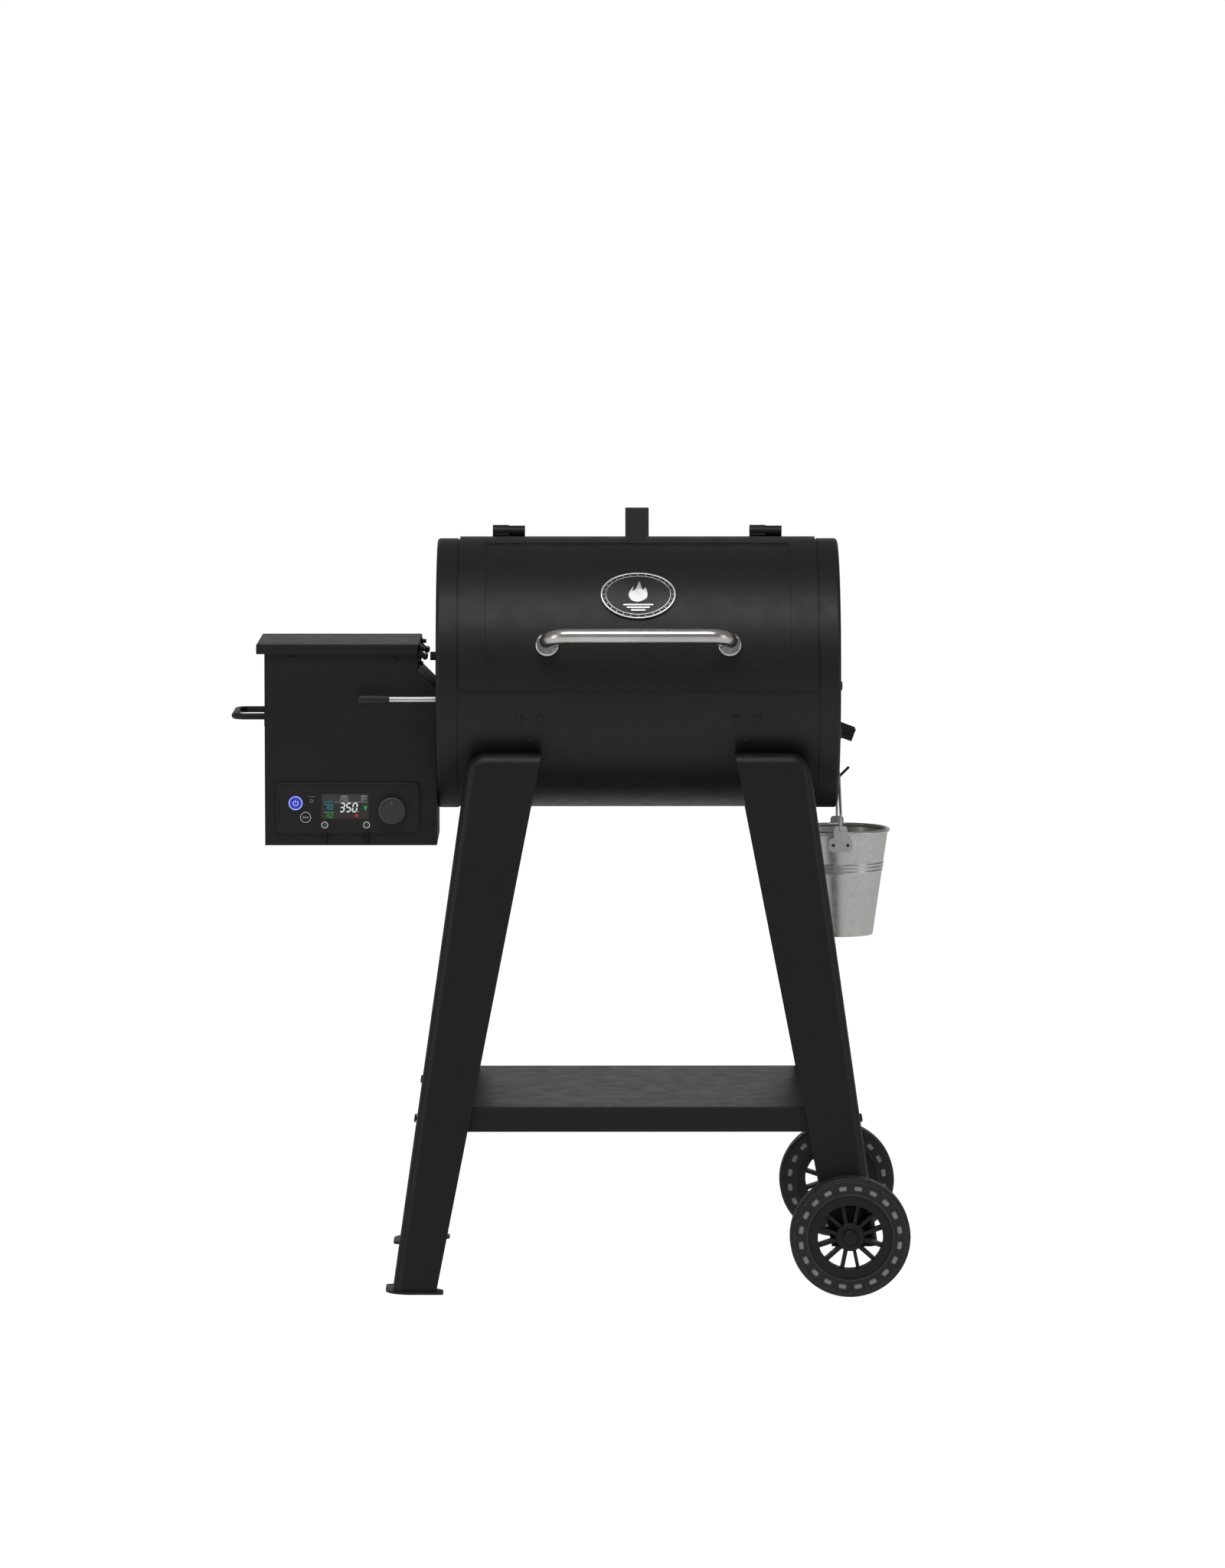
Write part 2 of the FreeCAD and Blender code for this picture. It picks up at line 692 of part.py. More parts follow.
def make_warming_rack():
    """Welded wire shelf above the back of the grates, on four short legs that stand on the barrel."""
    z = RACK_Z
    y_low = 30.0
    y_high = 160.0
    half = 235.0
    pieces = []
    for y in (y_low, y_high):
        pieces.append(rod(V(-half, y, z), X_DIR, 3.0, 2 * half))
    count = 17
    for i in range(count):
        x = -half + 2 * half * i / (count - 1)
        pieces.append(rod(V(x, y_low - 2, z + 4), Y_DIR, 2.0, y_high - y_low + 4))
    for x in (-half + 4, half - 4):
        pieces.append(rod(V(x, y_high, z), V(0, 1, -0.35), 3.0, 60))
        pieces.append(rod(V(x, y_high, z - 50), V(0, 1, -0.05), 3.0, 60))
        pieces.append(rod(V(x, y_high, z - 52), Z_DIR, 3.0, 54))
    return fuse(*pieces).common(barrel_round(BARREL_R - SHEET, -300, 300))


def tray_slots(z_low, z_high):
    slots = []
    for i in range(TRAY_SLOTS):
        y = (i - (TRAY_SLOTS - 1) / 2) * 26.0
        x = (FIRE_X - TRAY_SLOT_HALF, FIRE_X + TRAY_SLOT_HALF)
        slots.append(rounded_box(x, (y - 6, y + 6), (z_low, z_high), 5.9, Z_DIR))
    return slots


def make_grease_tray():
    """Bent plate over the fire pot: raised middle with flame slots, sides that fall to the edges."""
    t = 1.6
    middle = 86.0
    edge = 165.0
    low = TRAY_Z - 12.0
    left = -262.0
    profile = [
        V(left, -edge, low + 10), V(left, -edge, low), V(left, -middle, TRAY_Z - t),
        V(left, middle, TRAY_Z - t), V(left, edge, low), V(left, edge, low + 10),
        V(left, edge - t, low + 10), V(left, edge - t, low + t), V(left, middle, TRAY_Z),
        V(left, -middle, TRAY_Z), V(left, -edge + t, low + t), V(left, -edge + t, low + 10),
    ]
    tray = prism(profile, X_DIR * 498.0)
    return cut(tray, *tray_slots(TRAY_Z - 10, TRAY_Z + 10))


def make_slider():
    """Plate that opens and closes the flame slots, with the arm that the lever rod pulls."""
    z = (TRAY_Z + 0.3, TRAY_Z + 2.3)
    plate = box((-150, 80), (-80, 80), z)
    for slot in tray_slots(z[0] - 5, z[1] + 5):
        plate = cut(plate, moved(slot, x=-LEVER_TRAVEL))
    x = (-112.0, -92.0)
    front = LEVER_Y - 6.0
    arm = box(x, (front, -70), z)
    riser = box(x, (front, front + 1.8), (z[0], LEVER_Z + 9))
    eye = box(x, (front, LEVER_Y + 7), (LEVER_Z - 8, LEVER_Z + 9))
    bar = rod(V(-200, LEVER_Y, LEVER_Z), X_DIR, LEVER_R, 200)
    return cut(fuse(plate, arm, riser, eye), bar)


def make_lever_rod():
    return rod(V(GRIP_RIGHT - 30, LEVER_Y, LEVER_Z), X_DIR, LEVER_R, -92 - GRIP_RIGHT + 30)


def make_lever_grip():
    """Moulded grip, thicker in the middle, on the end of the lever rod."""
    length = GRIP_RIGHT - GRIP_LEFT
    points = [
        V(GRIP_LEFT, 0, 0),
        V(GRIP_LEFT, 0, 6.8),
        V(GRIP_LEFT + length * 0.3, 0, 7.6),
        V(GRIP_RIGHT - 8, 0, 7.1),
        V(GRIP_RIGHT, 0, 6.0),
        V(GRIP_RIGHT, 0, 0),
    ]
    outline = Part.Face(Part.makePolygon(points + [points[0]]))
    grip = outline.revolve(V(0, 0, 0), X_DIR, 360)
    end = edges_where(grip, lambda e: abs(e.CenterOfMass.x - GRIP_LEFT) < 0.01 and e.Length > 30)
    grip = grip.makeFillet(5.5, end)
    grip = moved(grip, y=LEVER_Y, z=LEVER_Z)
    return cut(grip, rod(V(GRIP_RIGHT - 30, LEVER_Y, LEVER_Z), X_DIR, LEVER_R, 60))


def make_grease_spout():
    """Cross trough under the right end of the tray, and the tipped spout over the bucket."""
    t = 1.5
    x = (239.0, 262.0)
    y = (-150.0, 150.0)
    z = (821.0, 835.0)
    trough = cut(box(x, y, z), box((x[0] + t, x[1] - t), (y[0] + t, y[1] - t), (z[0] + t, z[1] + 1)))
    length = 64.0
    channel = box((255, 262 + length), (-17, 17), (821, 841))
    channel = cut(channel, box((250, 262 + length + 1), (-17 + t, 17 - t), (821 + t, 850)))
    channel = cut(spout_frame(channel), box((230, x[1] - t), (-40, 40), (800, 860)))
    mouth = spout_frame(box((250, 275), (-17 + t, 17 - t), (821 + t, 850)))
    return fuse(cut(trough, mouth), channel)


def make_fire_pot():
    """Round cup with air holes, on three short feet."""
    t = 2.5
    pot = rod(V(FIRE_X, 0, FIRE_BASE_Z), Z_DIR, FIRE_R, FIRE_TOP_Z - FIRE_BASE_Z)
    pot = cut(pot, rod(V(FIRE_X, 0, FIRE_BASE_Z + t), Z_DIR, FIRE_R - t, 100))
    pot = cut(pot, rod(V(FIRE_X - 100, 0, AUGER_Z), X_DIR, AUGER_TUBE_R, 62))
    for i in range(12):
        hole = rod(V(FIRE_X, 0, 775), X_DIR, 3.0, 80)
        pot = cut(pot, turned(hole, V(FIRE_X, 0, 0), Z_DIR, 30 * i))
    feet = []
    for angle in (0, 120, 240):
        foot = turned(rod(V(FIRE_X + 30, 0, 690), Z_DIR, 5, 24), V(FIRE_X, 0, 0), Z_DIR, angle)
        feet.append(foot.common(barrel_round(BARREL_R - SHEET, -200, 200)))
    pot = fuse(pot, *feet)
    return cut(pot, rod(V(FIRE_X, 20, IGNITER_Z), Y_DIR, IGNITER_R, 60))


def make_igniter():
    """Hot rod through the pot's back wall, with its mounting collar."""
    hot = rod(V(FIRE_X, 34, IGNITER_Z), Y_DIR, IGNITER_R, 46)
    return fuse(hot, rod(V(FIRE_X, FIRE_R + 2, IGNITER_Z), Y_DIR, 9, 6))


def make_probe():
    return rod(V(-312, PROBE_Y, PROBE_Z), X_DIR, PROBE_R, 70)


# ---- pellet feed --------------------------------------------------------------------------
def make_auger_tube():
    tube = ring(V(-500, 0, AUGER_Z), X_DIR, AUGER_TUBE_R, AUGER_TUBE_R - 2.5, FIRE_X - 40 + 500)
    feed = box((FEED_LEFT, FEED_RIGHT), (-19, 19), (AUGER_Z + 10, AUGER_Z + 50))
    return cut(tube, feed)


def make_auger():
    """Shaft with a helical flight."""
    left = -498.0
    right = FIRE_X - 46
    shaft = rod(V(left - 14, 0, AUGER_Z), X_DIR, AUGER_SHAFT_R, right - left + 14)
    helix = Part.makeHelix(AUGER_PITCH, right - left - 12, AUGER_R)
    profile = Part.makePolygon([
        V(5.0, 0, -1.2), V(AUGER_R, 0, -1.2), V(AUGER_R, 0, 1.2), V(5.0, 0, 1.2), V(5.0, 0, -1.2)])
    flight = Part.Wire(helix).makePipeShell([profile], True, True)
    flight = turned(flight, V(0, 0, 0), Y_DIR, 90)
    flight = moved(flight, x=left + 6, z=AUGER_Z)
    return fuse(shaft, flight)


def make_auger_motor():
    """Gear motor on the left end of the auger."""
    case = rounded_box((-551, -515), (-32, 32), (AUGER_Z - 32, AUGER_Z + 32), 6.0, X_DIR)
    socket_r = AUGER_SHAFT_R + RUN_FIT
    nose = ring(V(-515, 0, AUGER_Z), X_DIR, AUGER_TUBE_R - 2.6, socket_r, 15)
    case = cut(case, rod(V(-530, 0, AUGER_Z), X_DIR, socket_r, 40))
    return fuse(case, nose)


def make_fan_housing():
    """Drum that holds the combustion fan, open in the middle of its back, with an outlet."""
    t = 2.0
    start = V(FAN_X, FAN_Y, FAN_Z)
    drum = ring(start, Y_DIR, FAN_R, FAN_R - t, FAN_DEEP)
    front = rod(start, Y_DIR, FAN_R, t)
    back = ring(start + Y_DIR * (FAN_DEEP - t), Y_DIR, FAN_R, 24, t)
    drum = cut(fuse(drum, front, back), rod(start - Y_DIR * 5, Y_DIR, FAN_SHAFT_R + RUN_FIT, 20))
    outlet = box((FAN_X + 30, HOP_RIGHT - 4), (FAN_Y + 4, FAN_Y + 30), (FAN_Z + 14, FAN_Z + 40))
    duct = cut(outlet, box((FAN_X, HOP_RIGHT), (FAN_Y + 6, FAN_Y + 28), (FAN_Z + 16, FAN_Z + 38)))
    duct = cut(duct, rod(start, Y_DIR, FAN_R - t, FAN_DEEP))
    drum = cut(drum, box((FAN_X + 20, HOP_RIGHT), (FAN_Y + 6, FAN_Y + 28), (FAN_Z + 16, FAN_Z + 38)))
    return fuse(drum, duct)


def make_fan_wheel():
    """Back plate, shaft and ten blades."""
    shaft = rod(V(FAN_X, FAN_Y - 4, FAN_Z), Y_DIR, FAN_SHAFT_R, 30)
    plate = rod(V(FAN_X, FAN_Y + 4, FAN_Z), Y_DIR, 36, 2)
    pieces = [shaft, plate]
    for i in range(10):
        blade = box((FAN_X - 1, FAN_X + 1), (FAN_Y + 5, FAN_Y + 28), (FAN_Z + 22, FAN_Z + 36))
        blade = turned(blade, V(FAN_X, 0, FAN_Z + 29), Y_DIR, 25)
        pieces.append(turned(blade, V(FAN_X, 0, FAN_Z), Y_DIR, 36 * i))
    return fuse(*pieces).common(rod(V(FAN_X, FAN_Y - 10, FAN_Z), Y_DIR, 38, 60))


# ---- hopper -------------------------------------------------------------------------------
def hopper_outline(inset, z_top):
    """Cross section of the hopper's casing, seen from the front."""
    lean = inset * 0.6
    return [
        V(HOP_LEFT + inset, 0, HOP_BOTTOM + inset),
        V(HOP_RIGHT - inset, 0, HOP_BOTTOM + inset),
        V(HOP_RIGHT - inset, 0, SHOULDER_LOW - lean),
        V(HOP_NECK - inset, 0, SHOULDER_HIGH - lean),
        V(HOP_NECK - inset, 0, z_top),
        V(HOP_LEFT + inset, 0, z_top),
    ]


def make_hopper_housing():
    outer = moved(prism(hopper_outline(0.0, HOP_TOP), Y_DIR * (HOP_BACK - HOP_FRONT)), y=HOP_FRONT)
    wide = HOP_BACK - HOP_FRONT - 2 * HOP_SHEET
    inner = moved(prism(hopper_outline(HOP_SHEET, HOP_TOP + 5), Y_DIR * wide), y=HOP_FRONT + HOP_SHEET)
    case = cut(outer, inner)
    case = cut(case, rod(V(-340, 0, AUGER_Z), X_DIR, AUGER_TUBE_R, 60))
    case = cut(case, rod(V(-340, PROBE_Y, PROBE_Z), X_DIR, 8, 60))
    window = box(
        (PANEL_X - PANEL_W / 2 + 5, PANEL_X + PANEL_W / 2 - 5), (HOP_FRONT - 2, HOP_FRONT + 4),
        (PANEL_Z - PANEL_H / 2 + 5, PANEL_Z + PANEL_H / 2 - 5))
    case = cut(case, window)
    inlet = box((INLET_X - 14, INLET_X + 14), (HOP_BACK - 5, HOP_BACK + 5), (INLET_Z - 10, INLET_Z + 10))
    case = cut(case, inlet)
    for i in range(6):
        x = FAN_X - 35 + 14 * i
        slot = rounded_box((x - 3, x + 3), (HOP_BACK - 5, HOP_BACK + 5), (FAN_Z - 25, FAN_Z + 25), 2.9, Y_DIR)
        case = cut(case, slot)
    return case


def make_bin():
    """Funnel that holds the pellets and ends on the auger tube's feed slot."""
    t = HOP_SHEET
    x = (HOP_LEFT + 3, HOP_NECK - 3)
    y = (HOP_FRONT + 3, HOP_BACK - 3)
    neck = 850.0
    foot = 772.0
    out_x = (FEED_LEFT - t, FEED_RIGHT + t)
    out_y = (-19 - t, 19 + t)

    def shrunk(span, inset):
        return (span[0] + inset, span[1] - inset)

    def funnel(inset):
        top = box(shrunk(x, inset), shrunk(y, inset), (neck, HOP_TOP - 1))
        high = rectangle(shrunk(x, inset), shrunk(y, inset), neck)
        low = rectangle(shrunk(out_x, inset), shrunk(out_y, inset), foot)
        cone = Part.makeLoft([low, high], True, True)
        chute = box(shrunk(out_x, inset), shrunk(out_y, inset), (AUGER_Z, foot))
        return fuse(top, cone, chute)

    shell = cut(funnel(0.0), funnel(t))
    shell = cut(shell, box((x[0] + t, x[1] - t), (y[0] + t, y[1] - t), (HOP_TOP - 10, HOP_TOP + 10)))
    return cut(shell, rod(V(-560, 0, AUGER_Z), X_DIR, AUGER_TUBE_R, 260))


def rectangle(x, y, z):
    corners = [V(x[0], y[0], z), V(x[1], y[0], z), V(x[1], y[1], z), V(x[0], y[1], z)]
    return Part.makePolygon(corners + [corners[0]])


def make_guard():
    """Wire grid that keeps fingers out of the auger."""
    z = 856.0
    x = (HOP_LEFT + 5, HOP_NECK - 5)
    y = (HOP_FRONT + 5, HOP_BACK - 5)
    pieces = []
    for i in range(6):
        at = y[0] + (y[1] - y[0]) * (i + 0.5) / 6
        pieces.append(rod(V(x[0], at, z), X_DIR, 1.8, x[1] - x[0]))
    for i in range(3):
        at = x[0] + (x[1] - x[0]) * (i + 0.5) / 3
        pieces.append(rod(V(at, y[0], z + 2), Y_DIR, 1.8, y[1] - y[0]))
    return fuse(*pieces)


def make_hopper_lid():
    """Pressed lid with a turned-down lip all round."""
    t = 1.5
    x = (HOP_LID_LEFT, HOP_LID_RIGHT)
    y = (HOP_LID_FRONT, HOP_LID_BACK)
    outer = box(x, y, (HOP_LID_LOW, HOP_LID_TOP))
    corners = edges_where(outer, lambda e: runs_along(e, Z_DIR))
    outer = outer.makeFillet(3.0, corners)
    top = edges_where(outer, lambda e: abs(e.CenterOfMass.z - HOP_LID_TOP) < 0.01)
    outer = outer.makeFillet(2.0, top)
    inner = box((x[0] + t, x[1] - t), (y[0] + t, y[1] - t), (HOP_TOP - 5, HOP_LID_TOP - t))
    return cut(outer, inner)


def hopper_hinge_spans():
    """Y spans of the knuckles of the hopper lid's two hinges: (moving, fixed) for each."""
    spans = []
    for start in (-96.0, 40.0):
        spans.append(((start, start + HOP_LEAF_W), (start + HOP_LEAF_W + 0.3, start + 2 * HOP_LEAF_W + 0.6)))
    return spans


def hinge_plate(points, span):
    """A bent strip seen from the front as the outline points, (x, z) each, over a Y span."""
    return prism([V(x, span[0], z) for x, z in points], Y_DIR * (span[1] - span[0]))


def hinge_rivet(x, span, z):
    return rod(V(x, (span[0] + span[1]) / 2, z), X_DIR, HOP_RIVET_R, HOP_RIVET_LONG)


def make_hopper_lid_leaves():
    """The moving half of each hopper hinge: a strip riveted to the lid's right side, and its knuckle."""
    leaves = []
    wall = HOP_LID_RIGHT
    outline = [
        (wall, HOP_HINGE_Z + 8.4), (wall, HOP_LID_TOP - 2.5), (wall + 1.6, HOP_LID_TOP - 2.5),
        (wall + 1.6, HOP_HINGE_Z + 10.2), (HOP_HINGE_X + 1.2, HOP_HINGE_Z + 2.2),
        (HOP_HINGE_X - 1.4, HOP_HINGE_Z + 1.4),
    ]
    for span, _ in hopper_hinge_spans():
        knuckle = rod(V(HOP_HINGE_X, span[0], HOP_HINGE_Z), Y_DIR, HOP_KNUCKLE_R, span[1] - span[0])
        leaf = fuse(knuckle, hinge_plate(outline, span), hinge_rivet(wall, span, HOP_HINGE_Z + 13.4))
        pin_hole = rod(V(HOP_HINGE_X, span[0] - 5, HOP_HINGE_Z), Y_DIR, HOP_PIN_R + RUN_FIT, 60)
        leaves.append(cut(leaf, pin_hole))
    return group(*leaves)


def make_hopper_hinge_mounts():
    """The fixed half of each hopper hinge, riveted to the casing's neck, with its pin."""
    pieces = []
    wall = HOP_NECK
    outline = [
        (wall, SHOULDER_HIGH + 1.5), (wall, HOP_LID_LOW - 2.2), (wall + 1.6, HOP_LID_LOW - 2.2),
        (wall + 1.6, HOP_HINGE_Z - 1.0), (HOP_HINGE_X - 1.0, HOP_HINGE_Z + 1.5),
        (HOP_HINGE_X, HOP_HINGE_Z - 2.0), (wall + 1.6, HOP_HINGE_Z - 4.2), (wall + 1.6, SHOULDER_HIGH + 1.5),
    ]
    for (start, _), span in hopper_hinge_spans():
        knuckle = rod(V(HOP_HINGE_X, span[0], HOP_HINGE_Z), Y_DIR, HOP_KNUCKLE_R, span[1] - span[0])
        mount = fuse(knuckle, hinge_plate(outline, span), hinge_rivet(wall, span, HOP_HINGE_Z - 11.0))
        pieces.append(cut(mount, rod(V(HOP_HINGE_X, span[0] - 5, HOP_HINGE_Z), Y_DIR, HOP_PIN_R, 60)))
        pieces.append(rod(V(HOP_HINGE_X, start - 1, HOP_HINGE_Z), Y_DIR, HOP_PIN_R, span[1] - start + 2))
    return group(*pieces)


def make_hopper_handle():
    """Bent bar on the hopper's left wall, for pulling the grill along."""
    r = 4.8
    reach = -609.0 + r
    half = 68.5 - r
    z = 840.6
    path = bent_path(
        [V(HOP_LEFT, -half, z), V(reach, -half, z), V(reach, half, z), V(HOP_LEFT, half, z)], [18.0, 18.0])
    bar = swept(path, r, V(HOP_LEFT, -half, z), V(-1, 0, 0))
    for side in (-half, half):
        bar = fuse(bar, box((HOP_LEFT - 2, HOP_LEFT), (side - 14, side + 14), (z - 14, z + 14)))
    return bar


# ---- controls -----------------------------------------------------------------------------
def make_bezel():
    """Moulded frame of the control panel, with holes for everything that it carries."""
    x = (PANEL_X - PANEL_W / 2, PANEL_X + PANEL_W / 2)
    z = (PANEL_Z - PANEL_H / 2, PANEL_Z + PANEL_H / 2)
    y = (HOP_FRONT - PANEL_T, HOP_FRONT)
    plate = rounded_box(x, y, z, 9.0, Y_DIR)
    front = edges_where(plate, lambda e: abs(e.CenterOfMass.y - y[0]) < 0.01)
    plate = plate.makeFillet(1.4, front)
    edge = 3.2
    sunk = rounded_box(
        (x[0] + edge, x[1] - edge), (y[0] - 5, FACE_Y), (z[0] + edge, z[1] - edge), 6.5, Y_DIR)
    back = rounded_box(
        (x[0] + 6, x[1] - 6), (HOP_FRONT - 1, HOP_FRONT + 14), (z[0] + 6, z[1] - 6), 4.0, Y_DIR)
    bezel = fuse(cut(plate, sunk), back)
    bezel = cut(bezel, box(DISPLAY_X, (FACE_Y - 1, FACE_Y - 0.3 + DISPLAY_T), DISPLAY_Z))
    for cx, cz, r in ((POWER_X, POWER_Z, POWER_R), (PRIME_X, PRIME_Z, PRIME_R)):
        bezel = cut(bezel, rod(V(cx, FACE_Y - 2, cz), Y_DIR, r + BUTTON_GAP, 10))
    bezel = cut(bezel, rod(V(KNOB_X, FACE_Y - 2, KNOB_Z), Y_DIR, KNOB_SHAFT_R + RUN_FIT, 30))
    for cx in JACK_XS:
        bezel = cut(bezel, rod(V(cx, FACE_Y - 2, JACK_Z), Y_DIR, JACK_BODY_R, 30))
    return bezel


def make_display():
    return box(DISPLAY_X, (FACE_Y - 0.3, FACE_Y - 0.3 + DISPLAY_T), DISPLAY_Z)


def make_button(x, z, radius):
    button = rod(V(x, FACE_Y - 1.5, z), Y_DIR, radius, 7.0)
    front = edges_where(button, lambda e: e.Length > 10 and e.CenterOfMass.y < FACE_Y - 1.4)
    return button.makeFillet(0.8, front)


def make_knob():
    """Dished knob with a shallow rim, on a shaft."""
    start = V(KNOB_X, FACE_Y - 12.4, KNOB_Z)
    knob = rod(start, Y_DIR, KNOB_R, 12.0)
    front = edges_where(knob, lambda e: e.Length > 10 and e.CenterOfMass.y < start.y + 0.1)
    knob = knob.makeFillet(1.6, front)
    knob = cut(knob, rod(start - Y_DIR, Y_DIR, 15.5, 1.8))
    return fuse(knob, rod(V(KNOB_X, FACE_Y - 2, KNOB_Z), Y_DIR, KNOB_SHAFT_R, 16))


def make_jacks():
    """Two sockets for food probes."""
    jacks = []
    for x in JACK_XS:
        body = rod(V(x, FACE_Y, JACK_Z), Y_DIR, JACK_BODY_R, 16)
        collar = rod(V(x, FACE_Y - 1.2, JACK_Z), Y_DIR, 5.2, 1.2)
        jacks.append(cut(fuse(body, collar), rod(V(x, FACE_Y - 5, JACK_Z), Y_DIR, JACK_R, 5 + JACK_DEEP)))
    return group(*jacks)


def make_inlet():
    """Power socket on the hopper's back wall."""
    def around(wide, high):
        return (INLET_X - wide, INLET_X + wide), (INLET_Z - high, INLET_Z + high)

    x, z = around(18, 14)
    flange = rounded_box(x, (HOP_BACK, HOP_BACK + 3), z, 3.0, Y_DIR)
    x, z = around(14, 10)
    body = box(x, (HOP_BACK - 22, HOP_BACK), z)
    x, z = around(12, 8)
    well = rounded_box(x, (HOP_BACK - 16, HOP_BACK + 5), z, 2.0, Y_DIR)
    socket = cut(fuse(flange, body), well)
    x, z = around(1, 2)
    pin = box(x, (HOP_BACK - 17, HOP_BACK - 4), z)
    return fuse(socket, moved(pin, x=-7, z=-1), moved(pin, z=2), moved(pin, x=7, z=-1))


def make_vent_hood():
    """Bent plate that shields the rear smoke slots, on end tabs."""
    hood = sector(BARREL_R + 16, BARREL_R + 17.6, -100, 100, 128, 158)
    tabs = [sector(BARREL_R, BARREL_R + 16.5, x, x + 1.6, 130, 156) for x in (-100, 98.4)]
    return fuse(hood, *tabs)


# ---- bucket -------------------------------------------------------------------------------
def hook_direction():
    return V(1, 0, 1).normalize()


def make_hook():
    """Short bent pin on the right end cap."""
    start = V(BARREL_HALF - 5, 0, HOOK_Z - 5)
    return rod(start, hook_direction(), HOOK_R, 34)


def make_bucket():
    """Tapered pail with a rolled rim and three ribs, all as one revolved sheet."""
    t = 0.8
    base_z = BUCKET_RIM_Z - BUCKET_DEEP

    def radius_at(z):
        return BUCKET_BASE_R + (BUCKET_RIM_R - 3 - BUCKET_BASE_R) * (z - base_z) / BUCKET_DEEP

    outer = [V(0, 0, base_z), V(BUCKET_BASE_R, 0, base_z)]
    for rib in RIB_ZS:
        outer.append(V(radius_at(rib - 2.5), 0, rib - 2.5))
        outer.append(V(radius_at(rib) + 1.1, 0, rib))
        outer.append(V(radius_at(rib + 2.5), 0, rib + 2.5))
    outer.append(V(radius_at(BUCKET_RIM_Z), 0, BUCKET_RIM_Z))
    inner = [
        V(radius_at(BUCKET_RIM_Z) - t, 0, BUCKET_RIM_Z),
        V(BUCKET_BASE_R - t, 0, base_z + t),
        V(0, 0, base_z + t),
    ]
    wall = Part.Face(Part.makePolygon(outer + inner + [outer[0]])).revolve(V(0, 0, 0), Z_DIR, 360)
    bead = Part.makeTorus(BUCKET_RIM_R - 3, 3.0, V(0, 0, BUCKET_RIM_Z))
    return moved(fuse(wall, bead), x=BUCKET_X)


def make_bucket_ears():
    """Riveted plates at the front and back of the rim, each with a hole for the bail."""
    pieces = []
    inner_y = BUCKET_RIM_R + EAR_GAP
    for side in (-1, 1):
        y = sorted((side * inner_y, side * (inner_y + 2.0)))
        tab = rounded_box((BUCKET_X - 10, BUCKET_X + 10), y, (EAR_RIVET_Z, EAR_Z + 6), 5.0, Y_DIR)
        plate = rounded_box((BUCKET_X - 18, BUCKET_X + 18), y, (EAR_RIVET_Z - 10.5, EAR_RIVET_Z + 11), 8.0, Y_DIR)
        ear = fuse(tab, plate)
        for dx in (-10.8, 10.8):
            rivet = rod(V(BUCKET_X + dx, side * (inner_y - 10), EAR_RIVET_Z), V(0, side, 0), 2.0, 13.5)
            ear = fuse(ear, rivet)
        ear = cut(ear, rod(V(BUCKET_X, -120, EAR_Z), Y_DIR, BAIL_R + RUN_FIT, 240))
        pieces.append(cut(ear, bucket_inside()))
    return group(*pieces)


def bucket_inside():
    """Everything within the pail's outer skin."""
    base_z = BUCKET_RIM_Z - BUCKET_DEEP
    skin = [
        V(0, 0, base_z),
        V(BUCKET_BASE_R, 0, base_z),
        V(BUCKET_RIM_R - 3, 0, BUCKET_RIM_Z),
        V(0, 0, BUCKET_RIM_Z),
    ]
    cone = Part.Face(Part.makePolygon(skin + [skin[0]])).revolve(V(0, 0, 0), Z_DIR, 360)
    return moved(cone, x=BUCKET_X)


def make_bail():
    """Wire arch from ear to ear, with a peak that hangs on the hook."""
    shoulder = V(0, 24, -20)
    half = math.atan2(shoulder.y, -shoulder.z)
    rest_z = HOOK_Z + (BUCKET_X - BARREL_HALF) + (BAIL_R + HOOK_R + 0.3) * math.sqrt(2)
    peak_z = rest_z + BAIL_BEND / math.sin(half) - BAIL_BEND
    end = BUCKET_RIM_R + EAR_GAP - 2.4
    y = BUCKET_RIM_R + 6.5
    points = [
        V(BUCKET_X, -end, EAR_Z),
        V(BUCKET_X, -y, EAR_Z),
        V(BUCKET_X, -y, EAR_Z + 22),
        V(BUCKET_X, -shoulder.y, peak_z + shoulder.z),
        V(BUCKET_X, 0, peak_z),
        V(BUCKET_X, shoulder.y, peak_z + shoulder.z),
        V(BUCKET_X, y, EAR_Z + 22),
        V(BUCKET_X, y, EAR_Z),
        V(BUCKET_X, end, EAR_Z),
    ]
    path = bent_path(points, [4.0, 14.0, 20.0, BAIL_BEND, 20.0, 14.0, 4.0])
    return swept(path, BAIL_R, points[0], V(0, -1, 0))


# ---- fasteners on the barrel and hopper ---------------------------------------------------
def make_body_bolts():
    """Heads: three over each leg, four on the right cap, one on the left, three hopper screws."""
    heads = []
    for side in (-1, 1):
        for x, z in ((-160.6, 815.0), (-176.5, 848.0), (-144.7, 848.0)):
            angle = math.degrees(math.asin((z - BARREL_Z) / BARREL_R))
            for back in (False, True):
                head = bolt_head(on_barrel(BARREL_R, angle, side * x), outwards(angle), 5.5, 2.4)
                heads.append(mirrored_y(head) if back else head)
    for y, z in ((-172.0, 895.0), (172.0, 895.0), (-160.0, 822.0), (160.0, 822.0)):
        heads.append(bolt_head(V(BARREL_HALF, y, z), X_DIR, 6.8, 2.6))
    heads.append(hex_head(V(-BARREL_HALF, -112.0, 935.0), V(-1, 0, 0), Z_DIR, 6.4, 9.4))
    for x, z in ((-515.7, 931.3), (-361.8, 929.0), (-309.9, 684.8)):
        heads.append(bolt_head(V(x, HOP_FRONT, z), V(0, -1, 0), 4.0, 1.6))
    return group(*heads)


